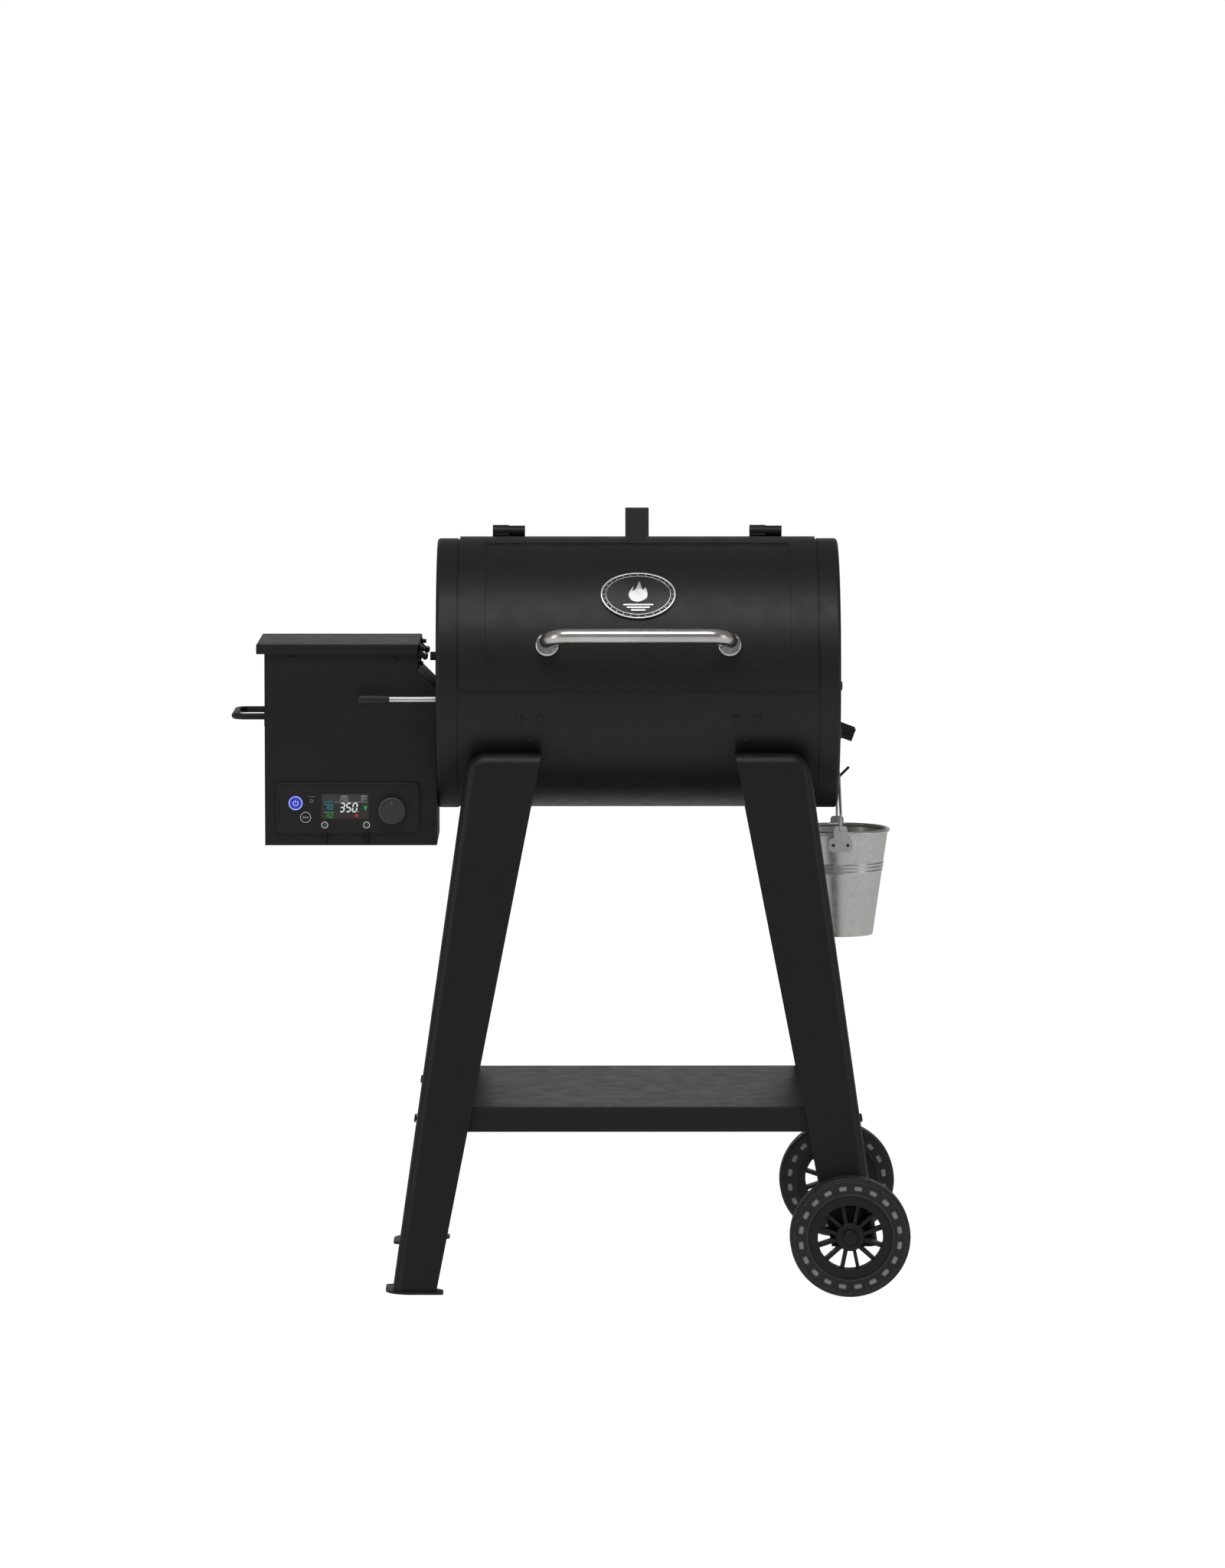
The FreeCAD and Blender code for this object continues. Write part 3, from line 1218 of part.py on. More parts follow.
# ---- assembly -----------------------------------------------------------------------------
def make_parts():
    parts = {}
    parts["barrel_shell"] = make_barrel()
    parts["left_end_cap"] = make_left_cap()
    parts["right_end_cap"] = make_right_cap()
    parts["rear_vent_hood"] = make_vent_hood()
    parts["lid_shell"] = make_lid()
    parts["lid_handle"] = make_handle()
    parts["handle_bezels"] = make_handle_bezels()
    parts["lid_badge"] = make_badge()
    parts["lid_hinge_leaves"] = make_lid_leaves()
    parts["lid_hinge_mounts"] = make_hinge_mounts()
    parts["lid_stop"] = make_lid_stop()

    leg = make_left_leg()
    left = leg_above(leg, FOOT_T)
    right = cut(mirrored_x(leg_above(leg, RIGHT_LEG_END)), axle_hole())
    shelf = make_shelf()
    bolts = make_shelf_bolts()
    parts["leg_front_left"] = cut(left, *bolts)
    parts["leg_front_right"] = cut(right, *bolts)
    parts["leg_rear_left"] = cut(mirrored_y(left), *bolts)
    parts["leg_rear_right"] = cut(mirrored_y(right), *bolts)
    parts["bottom_shelf"] = cut(shelf, *bolts)
    parts["shelf_bolts"] = group(*bolts)
    foot = make_foot_plate()
    parts["foot_plates"] = group(foot, mirrored_y(foot))
    parts["wheel_axle"] = make_axle()
    rim = make_wheel_rim()
    tyre = make_tyre()
    parts["front_wheel_rim"] = rim
    parts["front_wheel_tyre"] = tyre
    parts["rear_wheel_rim"] = mirrored_y(rim)
    parts["rear_wheel_tyre"] = mirrored_y(tyre)

    parts["cooking_grate_left"] = make_grate(-246, -1)
    parts["cooking_grate_right"] = make_grate(1, 246)
    parts["warming_rack"] = make_warming_rack()
    parts["grease_tray"] = make_grease_tray()
    parts["grease_spout"] = make_grease_spout()
    parts["broiler_slider"] = make_slider()
    parts["lever_rod"] = make_lever_rod()
    parts["lever_grip"] = make_lever_grip()
    parts["fire_pot"] = make_fire_pot()
    parts["igniter"] = make_igniter()
    parts["temperature_probe"] = make_probe()

    parts["auger_tube"] = make_auger_tube()
    parts["auger_screw"] = make_auger()
    parts["auger_motor"] = make_auger_motor()
    parts["fan_housing"] = make_fan_housing()
    parts["fan_wheel"] = make_fan_wheel()
    parts["hopper_housing"] = make_hopper_housing()
    parts["hopper_bin"] = make_bin()
    parts["pellet_guard"] = make_guard()
    parts["hopper_lid"] = make_hopper_lid()
    parts["hopper_lid_leaves"] = make_hopper_lid_leaves()
    parts["hopper_hinge_mounts"] = make_hopper_hinge_mounts()
    parts["hopper_handle"] = make_hopper_handle()

    parts["control_bezel"] = make_bezel()
    parts["control_display"] = make_display()
    parts["power_button"] = make_button(POWER_X, POWER_Z, POWER_R)
    parts["prime_button"] = make_button(PRIME_X, PRIME_Z, PRIME_R)
    parts["control_knob"] = make_knob()
    parts["probe_jacks"] = make_jacks()
    parts["power_inlet"] = make_inlet()

    parts["bucket_hook"] = make_hook()
    parts["bucket_pail"] = make_bucket()
    parts["bucket_ears"] = make_bucket_ears()
    parts["bucket_bail"] = make_bail()
    parts["body_bolts"] = make_body_bolts()
    return parts


def save(name, shape):
    placed = moved(shape, x=BARREL_X)
    placed.exportStep(os.path.join("parts", name + ".step"))
    box_mm = placed.BoundBox
    print(
        f"{name:22s} solids {len(placed.Solids):2d} valid {placed.isValid()}"
        f" vol {placed.Volume / 1000:9.2f} cm3"
        f"  x {box_mm.XMin:7.1f} {box_mm.XMax:7.1f}  y {box_mm.YMin:7.1f} {box_mm.YMax:7.1f}"
        f"  z {box_mm.ZMin:7.1f} {box_mm.ZMax:7.1f}")


os.makedirs("parts", exist_ok=True)
for node, solid in make_parts().items():
    save(node, solid)
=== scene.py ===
"""Looks of the pellet smoker grill: materials, trim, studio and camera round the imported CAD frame."""

import json
import math

import bmesh
import bpy
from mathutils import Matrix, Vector


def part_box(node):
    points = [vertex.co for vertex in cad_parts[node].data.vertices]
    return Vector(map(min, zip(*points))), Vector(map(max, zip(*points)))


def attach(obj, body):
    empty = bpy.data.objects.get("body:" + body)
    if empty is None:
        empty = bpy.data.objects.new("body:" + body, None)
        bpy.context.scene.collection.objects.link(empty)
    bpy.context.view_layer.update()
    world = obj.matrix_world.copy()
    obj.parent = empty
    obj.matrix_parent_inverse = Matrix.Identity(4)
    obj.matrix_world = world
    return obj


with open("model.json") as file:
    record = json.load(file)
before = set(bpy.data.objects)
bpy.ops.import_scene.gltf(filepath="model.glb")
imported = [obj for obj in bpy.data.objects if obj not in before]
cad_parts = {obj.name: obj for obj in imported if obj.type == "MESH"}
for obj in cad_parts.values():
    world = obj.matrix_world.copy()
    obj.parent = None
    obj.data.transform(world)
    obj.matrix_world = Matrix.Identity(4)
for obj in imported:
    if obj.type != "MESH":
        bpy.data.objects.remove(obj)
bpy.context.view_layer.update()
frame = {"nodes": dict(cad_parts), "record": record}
NODES = frame["nodes"]

X_DIR = Vector((1, 0, 0))
Y_DIR = Vector((0, 1, 0))
Z_DIR = Vector((0, 0, 1))
MM = 0.001


def centre_of(node):
    low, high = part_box(node)
    return (low + high) / 2


BARREL = centre_of("barrel_shell")
PANEL_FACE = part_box("control_display")[0].y + 0.3 * MM


# ---- materials ----------------------------------------------------------------------------
class Surface:
    """A procedural material: a Principled shader with textures in the object's own metres."""

    def __init__(self, name, **sockets):
        self.material = bpy.data.materials.new(name)
        self.material.use_nodes = True
        self.tree = self.material.node_tree
        self.shader = self.tree.nodes["Principled BSDF"]
        self.normal = None
        for socket, value in sockets.items():
            self.shader.inputs[socket.replace("_", " ")].default_value = value
        self.place = self.add("ShaderNodeTexCoord").outputs["Object"]

    def add(self, kind, **settings):
        node = self.tree.nodes.new(kind)
        for setting, value in settings.items():
            setattr(node, setting, value)
        return node

    def link(self, output, socket):
        self.tree.links.new(output, socket)

    def stretched(self, factors, turn=(0, 0, 0)):
        mapping = self.add("ShaderNodeMapping")
        mapping.inputs["Scale"].default_value = factors
        mapping.inputs["Rotation"].default_value = turn
        self.link(self.place, mapping.inputs["Vector"])
        return mapping.outputs["Vector"]

    def noise(self, scale, detail=3.0, stretch=None, roughness=0.55):
        node = self.add("ShaderNodeTexNoise")
        node.inputs["Scale"].default_value = scale
        node.inputs["Detail"].default_value = detail
        node.inputs["Roughness"].default_value = roughness
        self.link(self.stretched(stretch) if stretch else self.place, node.inputs["Vector"])
        return node.outputs["Fac"]

    def cells(self, scale, output="Color", randomness=1.0):
        node = self.add("ShaderNodeTexVoronoi")
        node.inputs["Scale"].default_value = scale
        node.inputs["Randomness"].default_value = randomness
        self.link(self.place, node.inputs["Vector"])
        return node.outputs[output]

    def spread(self, value, low, high, from_low=0.3, from_high=0.7):
        node = self.add("ShaderNodeMapRange")
        node.inputs["From Min"].default_value = from_low
        node.inputs["From Max"].default_value = from_high
        node.inputs["To Min"].default_value = low
        node.inputs["To Max"].default_value = high
        self.link(value, node.inputs["Value"])
        return node.outputs["Result"]

    def blend(self, factor, first, second):
        """Mixes two colours; each may be a colour or another node's output."""
        node = self.add("ShaderNodeMix", data_type="RGBA")
        self.link(factor, node.inputs["Factor"])
        for socket, colour in ((node.inputs[6], first), (node.inputs[7], second)):
            if isinstance(colour, (tuple, list)):
                socket.default_value = (*colour, 1.0)
            else:
                self.link(colour, socket)
        return node.outputs[2]

    def maths(self, operation, first, second):
        node = self.add("ShaderNodeMath", operation=operation)
        for socket, value in zip(node.inputs, (first, second)):
            if isinstance(value, (int, float)):
                socket.default_value = value
            else:
                self.link(value, socket)
        return node.outputs[0]

    def distance_to(self, point):
        node = self.add("ShaderNodeVectorMath", operation="DISTANCE")
        self.link(self.place, node.inputs[0])
        node.inputs[1].default_value = point
        return node.outputs["Value"]

    def bevelled(self, radius):
        node = self.add("ShaderNodeBevel", samples=4)
        node.inputs["Radius"].default_value = radius
        self.normal = node.outputs["Normal"]

    def bump(self, height, distance, strength=1.0):
        node = self.add("ShaderNodeBump")
        node.inputs["Distance"].default_value = distance
        node.inputs["Strength"].default_value = strength
        self.link(height, node.inputs["Height"])
        if self.normal is not None:
            self.link(self.normal, node.inputs["Normal"])
        self.normal = node.outputs["Normal"]

    def edge_mask(self, radius=0.0012):
        """0 on flat areas, 1 on worn edges and corners."""
        bevel = self.add("ShaderNodeBevel", samples=4)
        bevel.inputs["Radius"].default_value = radius
        geometry = self.add("ShaderNodeNewGeometry")
        dot = self.add("ShaderNodeVectorMath", operation="DOT_PRODUCT")
        self.link(bevel.outputs["Normal"], dot.inputs[0])
        self.link(geometry.outputs["Normal"], dot.inputs[1])
        return self.spread(dot.outputs["Value"], 1.0, 0.0, 0.9, 1.0)

    def done(self, colour=None, roughness=None):
        if colour is not None:
            self.link(colour, self.shader.inputs["Base Color"])
        if roughness is not None:
            self.link(roughness, self.shader.inputs["Roughness"])
        if self.normal is not None:
            self.link(self.normal, self.shader.inputs["Normal"])
        return self.material


def powder_coat(name, tone, low=0.40, high=0.50):
    """Satin black powder coat: orange peel, a little dust in its tone, edges rubbed lighter."""
    s = Surface(name, Specular_IOR_Level=0.42)
    s.bevelled(0.0009)
    s.bump(s.noise(260, 2.0), 0.00016, 0.5)
    s.bump(s.noise(1500, 2.0), 0.00008, 0.45)
    clouds = s.noise(5.0, 4.0)
    speck = s.noise(2200, 1.0)
    dark = tuple(0.86 * c for c in tone)
    light = tuple(1.16 * c for c in tone)
    colour = s.blend(s.spread(clouds, 0.0, 1.0), dark, light)
    colour = s.blend(s.spread(speck, 0.0, 0.35, 0.62, 0.8), colour, tuple(2.2 * c for c in tone))
    worn = s.maths("MULTIPLY", s.edge_mask(), s.spread(s.noise(60, 3.0), 0.0, 0.35))
    colour = s.blend(worn, colour, tuple(3.0 * c for c in tone))
    return s.done(colour, s.spread(s.noise(38, 4.0), low, high))


def plated(name, colour, low, high, grain, scale, distance=0.00003, tint=0.12):
    """Bare metal with drawn grain along the longest way of the stretch and cloudy tone."""
    s = Surface(name, Metallic=1.0)
    s.bevelled(0.0006)
    s.bump(s.noise(scale, 3.0, grain), distance, 0.6)
    clouds = s.spread(s.noise(14, 4.0), 0.0, 1.0)
    dull = tuple(c * (1 - tint) for c in colour)
    bright = tuple(min(1, c * (1 + tint)) for c in colour)
    base = s.blend(clouds, dull, bright)
    return s.done(base, s.spread(s.noise(scale, 2.0, grain), low, high))


def chrome():
    s = Surface("bright_chrome", Metallic=1.0)
    s.bevelled(0.0008)
    s.bump(s.noise(90, 2.0), 0.00002, 0.5)
    colour = s.blend(s.spread(s.noise(30, 3.0), 0.0, 1.0), (0.66, 0.66, 0.66), (0.78, 0.78, 0.77))
    return s.done(colour, s.spread(s.noise(55, 4.0), 0.06, 0.16))


def galvanised():
    """Dipped zinc: faint spangle cells that differ in tone and gloss, with a few dull stains."""
    s = Surface("galvanised_zinc", Metallic=0.88)
    s.bevelled(0.0005)
    cell = s.cells(260, "Color")
    tone = s.add("ShaderNodeSeparateColor")
    s.link(cell, tone.inputs[0])
    pick = tone.outputs[0]
    s.bump(s.noise(160, 2.0), 0.00001, 0.3)
    colour = s.blend(s.spread(pick, 0.0, 1.0, 0.0, 1.0), (0.70, 0.70, 0.685), (0.80, 0.80, 0.785))
    stain = s.spread(s.noise(22, 5.0), 0.0, 0.35, 0.5, 0.75)
    colour = s.blend(stain, colour, (0.60, 0.60, 0.585))
    return s.done(colour, s.spread(pick, 0.31, 0.37, 0.0, 1.0))


def heat_stained():
    """Steel near the fire: straw and blue tints that fade with distance, soot over the middle."""
    s = Surface("heat_stained_steel", Metallic=0.85)
    s.bevelled(0.0006)
    s.bump(s.noise(320, 4.0), 0.0001, 0.6)
    fire = centre_of("fire_pot")
    reach = s.spread(s.distance_to(tuple(fire)), 0.0, 1.0, 0.03, 0.26)
    wobble = s.maths("ADD", reach, s.spread(s.noise(18, 4.0), -0.18, 0.18))
    colour = s.blend(s.spread(wobble, 0.0, 1.0, 0.0, 0.45), (0.045, 0.040, 0.038), (0.15, 0.12, 0.13))
    colour = s.blend(s.spread(wobble, 0.0, 1.0, 0.45, 0.75), colour, (0.30, 0.23, 0.15))
    colour = s.blend(s.spread(wobble, 0.0, 1.0, 0.75, 1.0), colour, (0.36, 0.35, 0.33))
    return s.done(colour, s.spread(s.noise(60, 4.0), 0.38, 0.62))


def cast_iron():
    """Enamelled cast iron, rough from the sand mould."""
    s = Surface("enamelled_cast_iron", Specular_IOR_Level=0.5, Coat_Weight=0.15, Coat_Roughness=0.35)
    s.bevelled(0.0012)
    s.bump(s.noise(240, 5.0), 0.0003, 0.7)
    s.bump(s.noise(900, 2.0), 0.0001, 0.6)
    grease = s.spread(s.noise(25, 4.0), 0.0, 1.0)
    colour = s.blend(grease, (0.013, 0.012, 0.011), (0.030, 0.028, 0.026))
    return s.done(colour, s.spread(grease, 0.34, 0.62, 0.0, 1.0))


def moulded(name, tone, low, high, grain=1400, depth=0.00006, level=0.4):
    """Moulded plastic with a fine spark-eroded grain."""
    s = Surface(name, Specular_IOR_Level=level)
    s.bevelled(0.0007)
    s.bump(s.cells(grain, "Distance"), depth, 0.55)
    s.bump(s.noise(140, 2.0), 0.00005, 0.3)
    colour = s.blend(
        s.spread(s.noise(12, 4.0), 0.0, 1.0),
        tuple(0.88 * c for c in tone),
        tuple(1.14 * c for c in tone))
    rub = s.maths("MULTIPLY", s.edge_mask(), s.spread(s.noise(80, 3.0), 0.0, 0.4))
    colour = s.blend(rub, colour, tuple(2.4 * c for c in tone))
    return s.done(colour, s.spread(s.noise(45, 3.0), low, high))


def tyre_rubber():
    """Matt tyre compound, scuffed and dusty along its edges."""
    s = Surface("tyre_compound", Specular_IOR_Level=0.4)
    s.bevelled(0.0012)
    s.bump(s.noise(900, 3.0), 0.00014, 0.6)
    s.bump(s.noise(120, 3.0), 0.0002, 0.35)
    colour = s.blend(s.spread(s.noise(18, 4.0), 0.0, 1.0), (0.022, 0.022, 0.0224), (0.033, 0.033, 0.033))
    scuff = s.maths("MULTIPLY", s.edge_mask(0.003), s.spread(s.noise(130, 4.0), 0.0, 0.5))
    colour = s.blend(scuff, colour, (0.09, 0.088, 0.085))
    return s.done(colour, s.spread(s.noise(70, 3.0), 0.46, 0.64))


def backdrop_light_pane():
    """Thin window material, painted pale grey to stand for the bright backdrop seen through the windows.
    """
    s = Surface("painted_backdrop_light_window", Alpha=0.9, Roughness=0.25, Specular_IOR_Level=0.5)
    s.bump(s.noise(300, 2.0), 0.00008, 0.4)
    colour = s.blend(s.spread(s.noise(60, 3.0), 0.0, 1.0), (0.36, 0.36, 0.36), (0.44, 0.44, 0.44))
    return s.done(colour, s.spread(s.noise(90, 3.0), 0.22, 0.34))


def screen_glass():
    """Dark display window with a faint cell raster under a glossy skin."""
    s = Surface("display_window", Coat_Weight=0.6, Coat_Roughness=0.08, Specular_IOR_Level=0.5)
    s.bevelled(0.0003)
    raster = s.cells(2600, "Distance", 0.0)
    colour = s.blend(s.spread(raster, 0.0, 1.0, 0.2, 0.6), (0.030, 0.031, 0.032), (0.022, 0.023, 0.024))
    return s.done(colour, s.spread(s.noise(40, 3.0), 0.22, 0.34))


def glowing(name, colour, strength, dim=0.75):
    """Printed or lit mark: its light is a little uneven, as behind a diffuser."""
    s = Surface(name, Roughness=0.4, Emission_Strength=strength)
    tone = s.blend(s.spread(s.noise(500, 2.0), 0.0, 1.0), tuple(dim * c for c in colour), colour)
    s.link(tone, s.shader.inputs["Emission Color"])
    return s.done(tone)


def printed(name, tone):
    """Pad-printed ink, slightly uneven."""
    s = Surface(name, Specular_IOR_Level=0.3)
    colour = s.blend(s.spread(s.noise(900, 3.0), 0.0, 1.0), tuple(0.86 * c for c in tone), tone)
    return s.done(colour, s.spread(s.noise(300, 2.0), 0.42, 0.58))


BLACK = (0.0125, 0.0125, 0.0128)
EVEN = (1, 1, 1)
DRAWN_ALONG_X = (0.06, 1, 1)
FINISH = {
    "black_paint": powder_coat("black_powder_coat", BLACK),
    "polished_steel": plated("polished_steel", (0.76, 0.75, 0.73), 0.22, 0.32, DRAWN_ALONG_X, 700),
    "chrome": chrome(),
    "badge_metal": plated("badge_cast_metal", (0.055, 0.055, 0.055), 0.40, 0.52, EVEN, 500, 0.00008, 0.2),
    "black_hardware": powder_coat("black_oxide", (0.011, 0.011, 0.0113), 0.32, 0.44),
    "zinc_steel": plated("zinc_plate", (0.46, 0.46, 0.45), 0.28, 0.42, EVEN, 260, 0.00005, 0.2),
    "rim_plastic": moulded("rim_polypropylene", (0.015, 0.015, 0.0153), 0.40, 0.54),
    "tyre_rubber": tyre_rubber(),
    "cast_grate": cast_iron(),
    "rack_wire": moulded("coated_wire", (0.040, 0.040, 0.040), 0.30, 0.45, 700),
    "heat_steel": heat_stained(),
    "grip_plastic": moulded("nylon", (0.024, 0.024, 0.024), 0.34, 0.46, 1100),
    "panel_plastic": moulded("panel_abs", (0.0190, 0.0190, 0.0195), 0.44, 0.58, 1800),
    "display_glass": screen_glass(),
    "button_plastic": moulded("button_cap", (0.018, 0.018, 0.019), 0.30, 0.42, 2000),
    "knob_plastic": moulded("knob_soft_touch", (0.066, 0.066, 0.066), 0.46, 0.60, 1600),
    "jack_metal": plated("nickel", (0.62, 0.62, 0.60), 0.20, 0.30, EVEN, 600),
    "galvanised": galvanised(),
}
BLUE_CAP = moulded("power_cap_blue", (0.030, 0.045, 0.42), 0.26, 0.38, 2000)
BLUE_SHADER = BLUE_CAP.node_tree.nodes["Principled BSDF"]
BLUE_SHADER.inputs["Emission Color"].default_value = (0.03, 0.05, 0.62, 1)
BLUE_SHADER.inputs["Emission Strength"].default_value = 0.42
RAISED_METAL = plated("badge_raised_metal", (0.78, 0.78, 0.77), 0.26, 0.36, EVEN, 700, 0.00003)
# Pale grey panes: painted light of the backdrop seen through the tyre's windows.
BACKDROP_LIGHT_PANE = backdrop_light_pane()
# Pale rubber for the tyre's sidewall lines and ticks: a painted highlight on the shoulder.
SHOULDER_HIGHLIGHT_RUBBER = moulded("painted_highlight_rubber", (0.085, 0.085, 0.085), 0.5, 0.66, 900)
SOFT_RUBBER = moulded("soft_rubber", (0.012, 0.012, 0.012), 0.55, 0.70, 900)
WHITE_PRINT = printed("white_print", (0.88, 0.88, 0.88))
# Grey ink for the dial's pointer, also used for the painted highlight ring at its rim.
GREY_PRINT_AND_RIM_HIGHLIGHT = printed("grey_print_and_rim_highlight", (0.34, 0.34, 0.34))


def dress_frame():
    """Gives every CAD node its material from the record's slots."""
    for part in frame["record"]["subparts"]:
        node = NODES[part["node"]]
        material = BLUE_CAP if part["node"] == "power_button" else FINISH[part["material_slot"]]
        node.data.materials.clear()
        node.data.materials.append(material)
        for face in node.data.polygons:
            face.material_index = 0


# ---- mesh makers --------------------------------------------------------------------------
def piece(name, body, material, shape, angle=40.0):
    """Turns a filled bmesh into a piece that rides on a CAD body."""
    bmesh.ops.recalc_face_normals(shape, faces=shape.faces)
    mesh = bpy.data.meshes.new(name)
    shape.to_mesh(mesh)
    shape.free()
    mesh.materials.append(material)
    mesh.shade_smooth()
    mesh.set_sharp_from_angle(angle=math.radians(angle))
    thing = bpy.data.objects.new(name, mesh)
    bpy.context.scene.collection.objects.link(thing)
    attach(thing, body)
    return thing


def add_prism(shape, outline, depth):
    """Outline pushed along the vector depth, as a closed solid."""
    near = [shape.verts.new(p) for p in outline]
    far = [shape.verts.new(p + depth) for p in outline]
    shape.faces.new(near)
    shape.faces.new(list(reversed(far)))
    for i in range(len(outline)):
        j = (i + 1) % len(outline)
        shape.faces.new((near[i], far[i], far[j], near[j]))


def add_lathe(shape, centre, axis, profile, steps=48):
    """A closed profile of (radius, height) pairs turned about the axis."""
    side = axis.orthogonal().normalized()
    other = axis.cross(side)
    rings = []
    for radius, height in profile:
        ring = []
        for k in range(steps):
            a = 2 * math.pi * k / steps
            offset = (side * math.cos(a) + other * math.sin(a)) * radius
            ring.append(shape.verts.new(centre + axis * height + offset))
        rings.append(ring)
    for lower, upper in zip(rings, rings[1:] + rings[:1]):
        for k in range(steps):
            j = (k + 1) % steps
            shape.faces.new((lower[k], lower[j], upper[j], upper[k]))


def add_ring(shape, centre, axis, r_in, r_out, thickness, steps=48):
    soft = min(0.25 * (r_out - r_in), 0.4 * thickness)
    profile = [
        (r_in, 0.0), (r_out, 0.0), (r_out, thickness - soft), (r_out - soft, thickness),
        (r_in + soft, thickness), (r_in, thickness - soft)]
    add_lathe(shape, centre, axis, profile, steps)


def add_dome(shape, centre, axis, radius, height, steps=32, rows=6):
    """A closed dome on a flat base."""
    tiny = radius * 0.02
    profile = [(tiny, 0.0), (radius, 0.0)]
    for i in range(1, rows + 1):
        a = math.pi / 2 * i / rows
        profile.append((max(tiny, radius * math.cos(a)), height * math.sin(a)))
    add_lathe(shape, centre, axis, profile, steps)
    bmesh.ops.remove_doubles(shape, verts=shape.verts, dist=tiny * 2.2)


def add_bar(shape, points, across, width, thickness):
    """A flat strap along points; across is the direction of its width."""
    rows = []
    for i, point in enumerate(points):
        ahead = points[min(i + 1, len(points) - 1)] - points[max(i - 1, 0)]
        lift = ahead.cross(across).normalized() * thickness / 2
        edge = across * width / 2
        corners = (point - edge - lift, point + edge - lift, point + edge + lift, point - edge + lift)
        rows.append([shape.verts.new(c) for c in corners])
    for a, b in zip(rows, rows[1:]):
        for k in range(4):
            j = (k + 1) % 4
            shape.faces.new((a[k], a[j], b[j], b[k]))
    shape.faces.new(rows[0])
    shape.faces.new(list(reversed(rows[-1])))


def smooth_loop(points, steps=5):
    """A closed Catmull-Rom curve through the points."""
    out = []
    n = len(points)
    for i in range(n):
        a, b, c, d = (Vector(points[(i + k) % n]) for k in (-1, 0, 1, 2))
        for k in range(steps):
            t = k / steps
            out.append(
                0.5 * (2 * b + (c - a) * t + (2 * a - 5 * b + 4 * c - d) * t ** 2
                       + (3 * b - a - 3 * c + d) * t ** 3))
    return out


# ---- lid badge ----------------------------------------------------------------------------
BADGE_LOW, BADGE_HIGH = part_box("lid_badge")
BADGE_ANGLE = math.atan2(
    (BADGE_LOW.z + BADGE_HIGH.z) / 2 - BARREL.z,
    -(BADGE_LOW.y + BADGE_HIGH.y) / 2)
BADGE_PLATE = 1.2 * MM
BADGE_TOP_R = (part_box("lid_shell")[1].z - BARREL.z) + BADGE_PLATE
BADGE_W = (BADGE_HIGH.x - BADGE_LOW.x) / 2
BADGE_H = 42.0 * MM
BADGE_SUNK = -0.2         # how far the raised work reaches into the plate, in mm
FLAME_GROW = 1.28
BADGE_DOTS = 28


def on_badge(across, up, height):
    """A point over the badge, from millimetres across, up along the lid and out from its face."""
    radius = BADGE_TOP_R + height * MM
    a = BADGE_ANGLE + up * MM / BADGE_TOP_R
    return Vector((BARREL.x + across * MM, -radius * math.cos(a), BARREL.z + radius * math.sin(a)))


def add_badge_patch(shape, loop, low, high, round_by=0.5):
    """A raised patch with a bevelled rim that follows the lid's curve."""
    middle = sum((Vector(p) for p in loop), Vector((0, 0))) / len(loop)
    rings = []
    for inset, height in ((0.0, low), (0.0, high - round_by), (round_by, high)):
        ring = []
        for p in loop:
            q = Vector(p)
            q = q - (q - middle).normalized() * inset
            ring.append(shape.verts.new(on_badge(q.x, q.y, height)))
        rings.append(ring)
    n = len(loop)
    for a, b in zip(rings, rings[1:]):
        for k in range(n):
            j = (k + 1) % n
            shape.faces.new((a[k], a[j], b[j], b[k]))
    for ring in (rings[0], rings[-1]):
        made = shape.faces.new(ring)
        bmesh.ops.triangulate(shape, faces=[made])


def add_badge_bead(shape, half_w, half_h, width, low, high, steps=96):
    """A raised oval line."""
    profile = ((-width / 2, low), (-width / 2, high - 0.3), (-width / 4, high), (width / 4, high),
               (width / 2, high - 0.3), (width / 2, low))
    rows = []
    for k in range(steps):
        a = 2 * math.pi * k / steps
        row = []
        for offset, height in profile:
            row.append(shape.verts.new(on_badge(
                (half_w + offset) * math.cos(a), (half_h + offset) * math.sin(a), height)))
        rows.append(row)
    for k in range(steps):
        a, b = rows[k], rows[(k + 1) % steps]
        for i in range(len(profile)):
            j = (i + 1) % len(profile)
            shape.faces.new((a[i], a[j], b[j], b[i]))


def make_badge():
    """A plain oval medallion: two beads, a flame over three bars."""
    half_w = BADGE_W / MM
    half_h = BADGE_H / MM
    beads = bmesh.new()
    add_badge_bead(beads, half_w - 1.6, half_h - 1.6, 2.6, BADGE_SUNK, 1.2)
    add_badge_bead(beads, half_w - 8.0, half_h - 7.4, 1.3, BADGE_SUNK, 0.8)
    dot_r = 0.9
    octagon = [(dot_r * math.cos(t * math.pi / 4), dot_r * math.sin(t * math.pi / 4)) for t in range(8)]
    for k in range(BADGE_DOTS):
        a = 2 * math.pi * k / BADGE_DOTS
        across = (half_w - 4.9) * math.cos(a)
        up = (half_h - 4.6) * math.sin(a)
        add_badge_patch(beads, [(across + u, up + v) for u, v in octagon], BADGE_SUNK, 0.7, 0.25)
    piece("badge_beads", "lid", RAISED_METAL, beads)

    flame = bmesh.new()
    outer = [(0, -11), (-8, -8.5), (-11.5, -1), (-9, 6), (-5.5, 11), (-6.5, 4), (-2.5, 8.5), (1.5, 19),
             (3.5, 11), (6, 6), (8.5, 9.5), (11, 2), (9.5, -6)]
    add_badge_patch(flame, [tuple(p * FLAME_GROW) for p in smooth_loop(outer)], BADGE_SUNK, 1.1)
    for row, half in ((-14.5, 17.0), (-18.0, 13.0), (-21.5, 8.0)):
        bar = [(-half, row - 0.9), (half, row - 0.9), (half + 0.9, row), (half, row + 0.9),
               (-half, row + 0.9), (-half - 0.9, row)]
        add_badge_patch(flame, [(FLAME_GROW * u, FLAME_GROW * v) for u, v in bar], BADGE_SUNK, 0.8, 0.3)
    piece("badge_flame", "lid", RAISED_METAL, flame)


